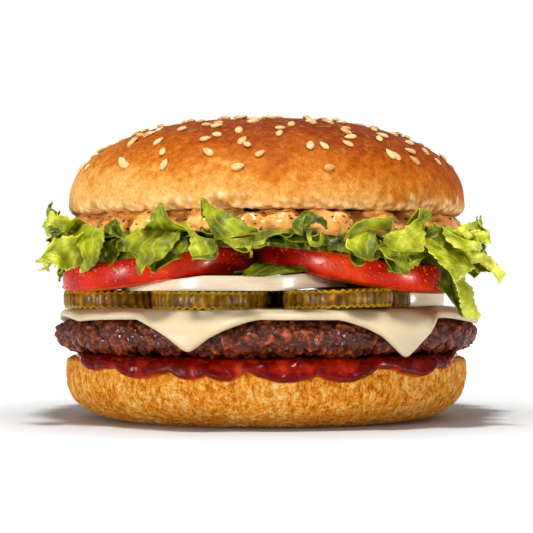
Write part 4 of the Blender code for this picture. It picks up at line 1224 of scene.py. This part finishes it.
def leaf_sheet(node, seed):
    """The leaf from inside the burger to its frilled edge, a little behind the edge of the solid."""
    layer, rise, inside, edge = LEAVES[node]
    arc = math.radians(abs(edge[-1][0] - edge[0][0])) * LEAF_EDGE_RADIUS
    u = np.linspace(0, 1, int(max(60, arc * 2.2)))[None, :]
    v = np.linspace(0, 1, 40)[:, None] ** 0.55
    azimuth_edge, reach, height = (column[None, :] for column in through(edge, u[0]).T)
    reach = reach - (LEAF_PULL if node in BACK_LEAVES else FRONT_LEAF_PULL)
    height = np.minimum(height, layer + SHEET_CREST * smooth((height - layer) / 6))
    radius = LEAF_INNER_RADIUS + (reach - LEAF_INNER_RADIUS) * v
    climb = smooth((radius - rise + 2) / (reach - rise + 2))
    out = smooth((radius - rise + 6) / (reach - rise + 6))
    inner_azimuth = inside[0] + (inside[1] - inside[0]) * u
    azimuth = np.radians(inner_azimuth + (azimuth_edge - inner_azimuth) * v)
    z = layer + (height - layer) * climb
    folds = arc / 9.5
    wander = np.stack(np.broadcast_arrays(u * folds * 0.8, v * 0.9 + seed, 0.3), axis=-1)
    wander = noise(wander, 1.0, seed)
    phase = math.tau * (folds * u + 0.37 * seed) + 2.2 * wander
    depth = 2.0 * out**1.4
    radius = radius + depth * np.sin(phase) - 1.0 * out
    azimuth = azimuth + 0.65 * depth * np.sin(2 * phase + 0.7) / LEAF_EDGE_RADIUS
    fine = math.tau * (folds * 3.1 * u + 0.11 * seed) + 2.5 * wander
    radius = radius + 0.6 * out**2 * np.sin(fine)
    z = z + 0.4 * depth * np.cos(phase + 0.5) + 0.5 * out**2 * np.cos(fine * 1.07)
    points = polar_points(azimuth, radius, z)
    vein = veins((u * arc + 1.5 * wander) % RIB_SPACING - RIB_SPACING / 2, v * (reach - LEAF_INNER_RADIUS))
    margin = smooth((v - 0.955) / 0.045) + 0 * u
    toward = unit(np.gradient(points, axis=0))
    points = points + toward * (1.6 * margin * (teeth(u * arc, 2.4, seed) - 0.4))[..., None]
    blister = 0.3 * (1 - vein) * noise(points, 2.6, seed + 9) + 0.3 * noise(points, 5.0, seed + 3)
    points = points + normals_of(points) * (blister * smooth(out * 2))[..., None]
    # Painted shade: the front sheets, in shade behind the lobes, are painted darker; the margin and outer
    # part are paler.
    pale = 0.5 * margin - 0.5 * (node not in BACK_LEAVES) + 0.2 * smooth((v - 0.75) / 0.25)
    return lattice(points, vein=vein, pale=pale)


def in_picture(x, z, radius):
    """The point this far out that the camera sees at x and z of the burger's middle plane."""
    away = CAMERA_DISTANCE**2
    spread = x**2 + away
    share = (away - np.sqrt(np.maximum(away**2 - spread * (away - radius**2), 0.0))) / spread
    z = EYE_HEIGHT + share * (z - EYE_HEIGHT)
    return np.stack([share * x, CAMERA_DISTANCE * (share - 1), z], axis=-1)


def leaf_lobe(rows, layer, seed):
    """A lobe of leaf between two ragged edges, from a root inside the burger to the tip."""
    draw = random.Random(seed)
    x1, _, x2, _, radius = rows[0]
    at_side = abs(x1 + x2) / 2 > SIDE_SHARE * radius
    inward = SIDE_ROOT if at_side else 1.0
    start = SIDE_ROOT * radius if at_side else min(LOBE_ROOT, radius)
    left, right = inward * (0.8 * x1 + 0.2 * x2), inward * (0.2 * x1 + 0.8 * x2)
    rows = ((left, layer + 1.5, right, layer + 1.5, start),) + tuple(rows)
    table = np.array(rows, float)
    length = np.linalg.norm(np.diff((table[:, :2] + table[:, 2:4]) / 2, axis=0), axis=1).sum() + 6
    widest = np.hypot(table[:, 0] - table[:, 2], table[:, 1] - table[:, 3]).max()
    s = np.linspace(0, 1, int(length / 0.4) + 8)
    t = np.linspace(-1, 1, int(widest / 0.4) + 7)[None, :]
    x1, z1, x2, z2, radius = (column[:, None] for column in through(rows, s).T)
    along = s[:, None] * length
    width = np.maximum(np.hypot(x2 - x1, z2 - z1), 0.5)
    grown = smooth((s[:, None] - 0.15) * 4)
    edges = []
    for way in (0, 1):
        tooth = teeth(along, draw.uniform(3.0, 4.6), seed + way) - 0.35
        tooth = tooth + 0.35 * teeth(along, 1.4, seed + 5 + way)
        edges.append(1 + 2 * np.minimum(0.16 * width, 0.9) * tooth * grown / width)
    across = t * np.where(t < 0, edges[0], edges[1])
    x = (x1 + x2) / 2 + (x2 - x1) / 2 * across
    z = (z1 + z2) / 2 + (z2 - z1) / 2 * across
    flat = np.stack([x, z, np.full_like(x, 3.1 * seed)], axis=-1)
    cup = draw.uniform(-1.0, 1.6) * (1 - t**2) * np.minimum(width / 12, 1)
    fold = 1.8 * noise(flat, 7.5, seed) + 0.8 * noise(flat, 3.4, seed + 2)
    waves = [line_noise(along, draw.uniform(3.0, 4.5), seed + k) for k in (13, 14)]
    ruffle = 2.4 * np.abs(t) ** 2.2 * np.minimum(width / 8, 1) * np.where(t < 0, *waves)
    spacing = 3.4 - 1.2 * s[:, None]
    place = t * widest / 2 / VEIN_SPACING + 0.5 * line_noise(along, 5, seed)
    vein = np.exp(-(((place % 1 - 0.5) * spacing / 0.34) ** 2)) * (0.4 + 0.6 * smooth(1 - np.abs(t)))
    blister = 0.22 * noise(flat, 1.7, seed + 9) - 0.12 * vein
    points = in_picture(x, z, radius + grown * (cup + fold + ruffle) + blister)
    margin = np.maximum(smooth((np.abs(t) - 0.9) / 0.1), smooth((s[:, None] - 0.96) / 0.04))
    # Painted light and shade: lobes further out are painted paler and those further in darker.
    level = 0.14 + 0.09 * (table[2:, 4].mean() - LEAF_EDGE_RADIUS) + 0.5 * noise(flat, 9, seed + 4)
    return lattice(points, vein=vein, pale=np.clip(level + 0.4 * margin, -0.4, 1))


def frill_lobes(node, seed):
    """Lobes, each with its azimuth, for the crests and tips that the photograph doesn't show."""
    layer, _, _, edge = LEAVES[node]
    draw = random.Random(seed)
    lobes = []
    for azimuth, reach, height in edge[1:-1]:
        reach = min(reach, BACK_REACH if node in BACK_LEAVES else SIDE_REACH)
        if node not in BACK_LEAVES and abs(azimuth) < FRONT_LIMIT:
            continue
        lean = draw.uniform(-5, 5)
        half = draw.uniform(3.5, 6.5)
        up = 1 if height > layer + 1 else -1
        rows = (
            (-lean, layer + 1.2 + up, half * 0.8, FRILL_ROOT),
            (-lean / 2, (layer + height) / 2 + 0.8, half, (FRILL_ROOT + reach) / 2 + 1),
            (0, height, half * 0.6, reach),
            (lean / 3, height + up * draw.uniform(1.0, 2.5), 0.6, reach - 0.4 * up),
        )
        tilt = draw.uniform(-1, 1)
        nearer = 1 - reach / CAMERA_DISTANCE
        seen_rows = []
        for x, z, side, out in rows:
            z = EYE_HEIGHT + (z - EYE_HEIGHT) / nearer
            seen_rows.append((x - side, z + tilt, x + side, z - tilt, out))
        lobes.append((azimuth, seen_rows))
    return lobes


def leaf_piece(node, parts, paint):
    piece(node + "_leaf", parts, paint, "lettuce", node, thickness=LEAF_THICKNESS)


def make_leaf(node, paint, seed):
    layer = LEAVES[node][0]
    lobes = [(0, rows) for rows in LOBES.get(node, ())] + frill_lobes(node, seed)
    parts = [leaf_sheet(node, seed)]
    for i, (azimuth, rows) in enumerate(lobes):
        points, faces, facts = leaf_lobe(rows, layer, 20 * seed + i)
        turn = np.array(Matrix.Rotation(math.radians(azimuth), 3, "Z"))
        parts.append((points @ turn.T, faces, facts))
    leaf_piece(node, parts, paint)


# Two lobes of the leaf between the two front tomato slices
FOLD_LEVEL = 42.0
FOLD_LOBES = (
    ((-2, 44.5, 10, 43, 48), (-5, 43, 9, 42.5, 52), (-6.5, 41.5, 5, 41.5, 53.5),
     (-6.5, 40.5, -1, 40.5, 54)),
    ((4, 43, 12, 42.5, 48), (2, 42.5, 10, 42, 51.5), (1.5, 41.3, 6, 41.5, 53)),
)

# The ruffled leaves: what lies below, first and last azimuth, and crests
RUFFLES = {
    "lettuce_middle_left": (("tomato_left", "tomato_back_left"), -160, -12, 7),
    "lettuce_middle_right": (("tomato_right", "tomato_back_right"), 18, 158, 7),
}


def make_ruffle(node, paint, seed):
    below, first, last, crests = RUFFLES[node]
    u = np.linspace(0, 1, 480)[None, :]
    v = np.linspace(0, 1, 26)[:, None]
    azimuth = np.radians(first + (last - first) * u) + 0 * v
    fine = np.sin(math.tau * crests * 3.3 * u + 2 * line_noise(u, 0.1, seed))
    radius = RUFFLE_INNER_RADIUS + (RUFFLE_RADIUS - RUFFLE_INNER_RADIUS) * v + 1.2 * fine * v**2
    high = LOW_LAYER - RUFFLE_CLEAR
    floor = np.max([tomato_foot(tomato, radius * np.sin(azimuth)) for tomato in below], axis=0)
    low = np.minimum(floor + TOMATO_THICKNESS + RUFFLE_CLEAR, high)
    wave = np.sin(math.tau * crests * u)
    points = polar_points(azimuth, radius, (low + high) / 2 + wave * (high - low) / 2)
    arc = math.radians(last - first) * RUFFLE_RADIUS
    margin = smooth((v - 0.9) / 0.1)
    ragged = 1.2 * margin * teeth(u * arc, 2.6, seed)
    points = points + unit(np.gradient(points, axis=0)) * ragged[..., None]
    points[..., 2] += 0.4 * noise(points, 3.0, seed)
    vein = veins((u * arc) % RIB_SPACING - RIB_SPACING / 2, v * (RUFFLE_RADIUS - RUFFLE_INNER_RADIUS))
    part = lattice(points, vein=vein, pale=0.4 * margin + 0 * u)
    leaf_piece(node, [part], paint)


def make_leaf_fold(paint):
    """The fold of leaf that shows between the two tomato slices, lying on the onion."""
    u = np.linspace(0, 1, 80)[None, :]
    v = np.linspace(0, 1, 60)[:, None]
    x = -8.5 + 18 * u + 0 * v
    y = -47.5 + 22 * v + 0 * u + 1.5 * np.sin(u * 9)
    floor = np.minimum(front_onion_foot(x) + ONION_THICKNESS, front_onion_roof(x) - GAP)
    z = floor + 0.45 + (front_onion_roof(x) - floor) * 0.4
    points = np.stack([x, y, z], axis=-1)
    points[..., 2] += 0.3 * noise(points, 3.0, 4)
    parts = [lattice(points, vein=veins(y + 38, x + 9), pale=0.1 + 0 * x)]
    for i, rows in enumerate(FOLD_LOBES):
        points, faces, facts = leaf_lobe(rows, FOLD_LEVEL, 400 + i)
        parts.append((points, faces, facts | {"pale": facts["pale"] + 0.25}))
    leaf_piece("lettuce_inner", parts, paint)


# Herb sauce


def make_sauce():
    low, high = node_box("sauce")
    middle, half = (low.z + high.z) / 2, (high.z - low.z) / 2
    azimuth = round_azimuths(760)
    lobe = 0.0
    droop = 0.0
    for place, depth, width in SAUCE_LOBES:
        away = np.abs((np.degrees(azimuth) - place + 180) % 360 - 180) / width
        bump = np.exp(-(away**4) * 1.2)
        lobe = np.maximum(lobe, bump)
        droop = np.maximum(droop, depth * bump)
    angle = np.linspace(0.02, 0.98, 60)[:, None] * math.pi
    s, c = superellipse(angle, 2.2)
    reach = SAUCE_RADIUS - 0.4 + 1.2 * ring_noise(azimuth, 19, 12.0) + 4.4 * lobe
    sink = 1.6 * (1 - lobe) * smooth((c - 0.1) / 0.5)
    lower = smooth(0.55 - 0.6 * c)
    radius = reach - 7.5 + (5.5 - sink) * s + 2.0 * lower
    height = middle + half * c - 1.2 * droop * s * lower
    rows = np.concatenate([0 * azimuth, radius, 0 * azimuth])
    heights = np.concatenate([middle + half + 0 * azimuth, height, middle - half + 0 * azimuth])
    points = polar_points(azimuth, rows, heights)
    lump = 0.9 * fractal(points, 4.6, 3, 51) + 0.22 * fractal(points, 1.8, 2, 55)
    outer = smooth((flat_reach(points) - 44) / 6)
    points = points + normals_of(points, True) * (lump * outer)[..., None]
    piece("herb_sauce_layer", [lattice(points, True)], sauce_paint(), "herb_sauce", "sauce")


# Stage


def make_stage():
    """A pale floor with a painted shadow round the burger and a painted glow further out, and a studio
    that is white behind the burger and dimmer in front of it.
    """
    bpy.ops.mesh.primitive_plane_add(size=60)
    floor = bpy.context.active_object
    floor.name = "floor"
    floor.location.z = -0.00002
    paint = Paint("floor_painted_shadow_glow", Roughness=0.8, Emission_Color=(1, 1, 1, 1))
    distance = paint.node("ShaderNodeVectorMath", {0: paint.place}, operation="LENGTH").outputs["Value"]
    # Painted light and shadow: the floor glows further out and is painted grey near the burger.
    glow = paint.between(distance, *GLOW_FROM_TO, 0.0, GLOW_STRENGTH)
    tone = paint.mix(paint.between(distance, *PALER_FROM_TO), NEAR_FLOOR, FAR_FLOOR)
    floor.data.materials.append(paint.use(Base_Color=tone, Emission_Strength=glow))
    world = bpy.data.worlds.new("studio")
    world.use_nodes = True
    tree = world.node_tree
    background = tree.nodes["Background"]
    background.inputs["Color"].default_value = (1, 1, 1, 1)
    split = tree.nodes.new("ShaderNodeSeparateXYZ")
    tree.links.new(tree.nodes.new("ShaderNodeTexCoord").outputs["Generated"], split.inputs[0])
    strength = tree.nodes.new("ShaderNodeMapRange")
    for socket, value in zip(("From Min", "From Max", "To Min", "To Max"), STUDIO_FADE):
        strength.inputs[socket].default_value = value
    tree.links.new(split.outputs["Y"], strength.inputs["Value"])
    tree.links.new(strength.outputs[0], background.inputs["Strength"])
    bpy.context.scene.world = world
    bpy.context.scene.view_settings.view_transform = "Standard"


def make_lights():
    for name, (place, size, power) in LAMPS.items():
        lamp = bpy.data.lights.new(name, "AREA")
        lamp.energy = power
        lamp.shape = "RECTANGLE"
        lamp.size, lamp.size_y = size
        light = bpy.data.objects.new(name, lamp)
        light.location = place
        facing = Vector(LAMP_TARGET) - Vector(place)
        light.rotation_euler = facing.to_track_quat("-Z", "Y").to_euler()
        bpy.context.scene.collection.objects.link(light)


def make_camera():
    camera = bpy.data.objects.new("camera", bpy.data.cameras.new("camera"))
    camera.data.sensor_width = 36.0
    camera.data.lens = 36.0 * CAMERA_DISTANCE / (PHOTO_PIXELS * PIXEL_SIZE)
    camera.data.clip_start = 0.01
    camera.location = (0, -CAMERA_DISTANCE * MM, EYE_HEIGHT * MM)
    pitch = math.atan((HORIZON_ROW - PHOTO_PIXELS / 2) * PIXEL_SIZE / CAMERA_DISTANCE)
    camera.rotation_euler = (math.pi / 2 + pitch, 0, 0)
    bpy.context.scene.collection.objects.link(camera)
    bpy.context.scene.camera = camera


def main():
    make_camera()
    make_stage()
    make_lights()
    make_heel()
    crown = Crown()
    crown.make()
    make_seeds(crown)
    make_ketchup()
    make_patty()
    make_cheese()
    draw = random.Random(3)
    pickle = pickle_paint()
    for node in sorted(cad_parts):
        if node.startswith("pickle"):
            make_pickle(node, pickle, draw)
    onion = onion_paint()
    for node in ONION_SPACES:
        make_onion(node, onion)
    tomato = tomato_paint()
    for node in TOMATO_FEET:
        make_tomato(node, tomato)
    make_drops()
    leaf = leaf_paint()
    add_back_leaves()
    for seed, node in enumerate(LEAVES, 1):
        make_leaf(node, leaf, seed)
    for seed, node in enumerate(RUFFLES, 31):
        make_ruffle(node, leaf, seed)
    make_leaf_fold(leaf)
    make_sauce()


main()
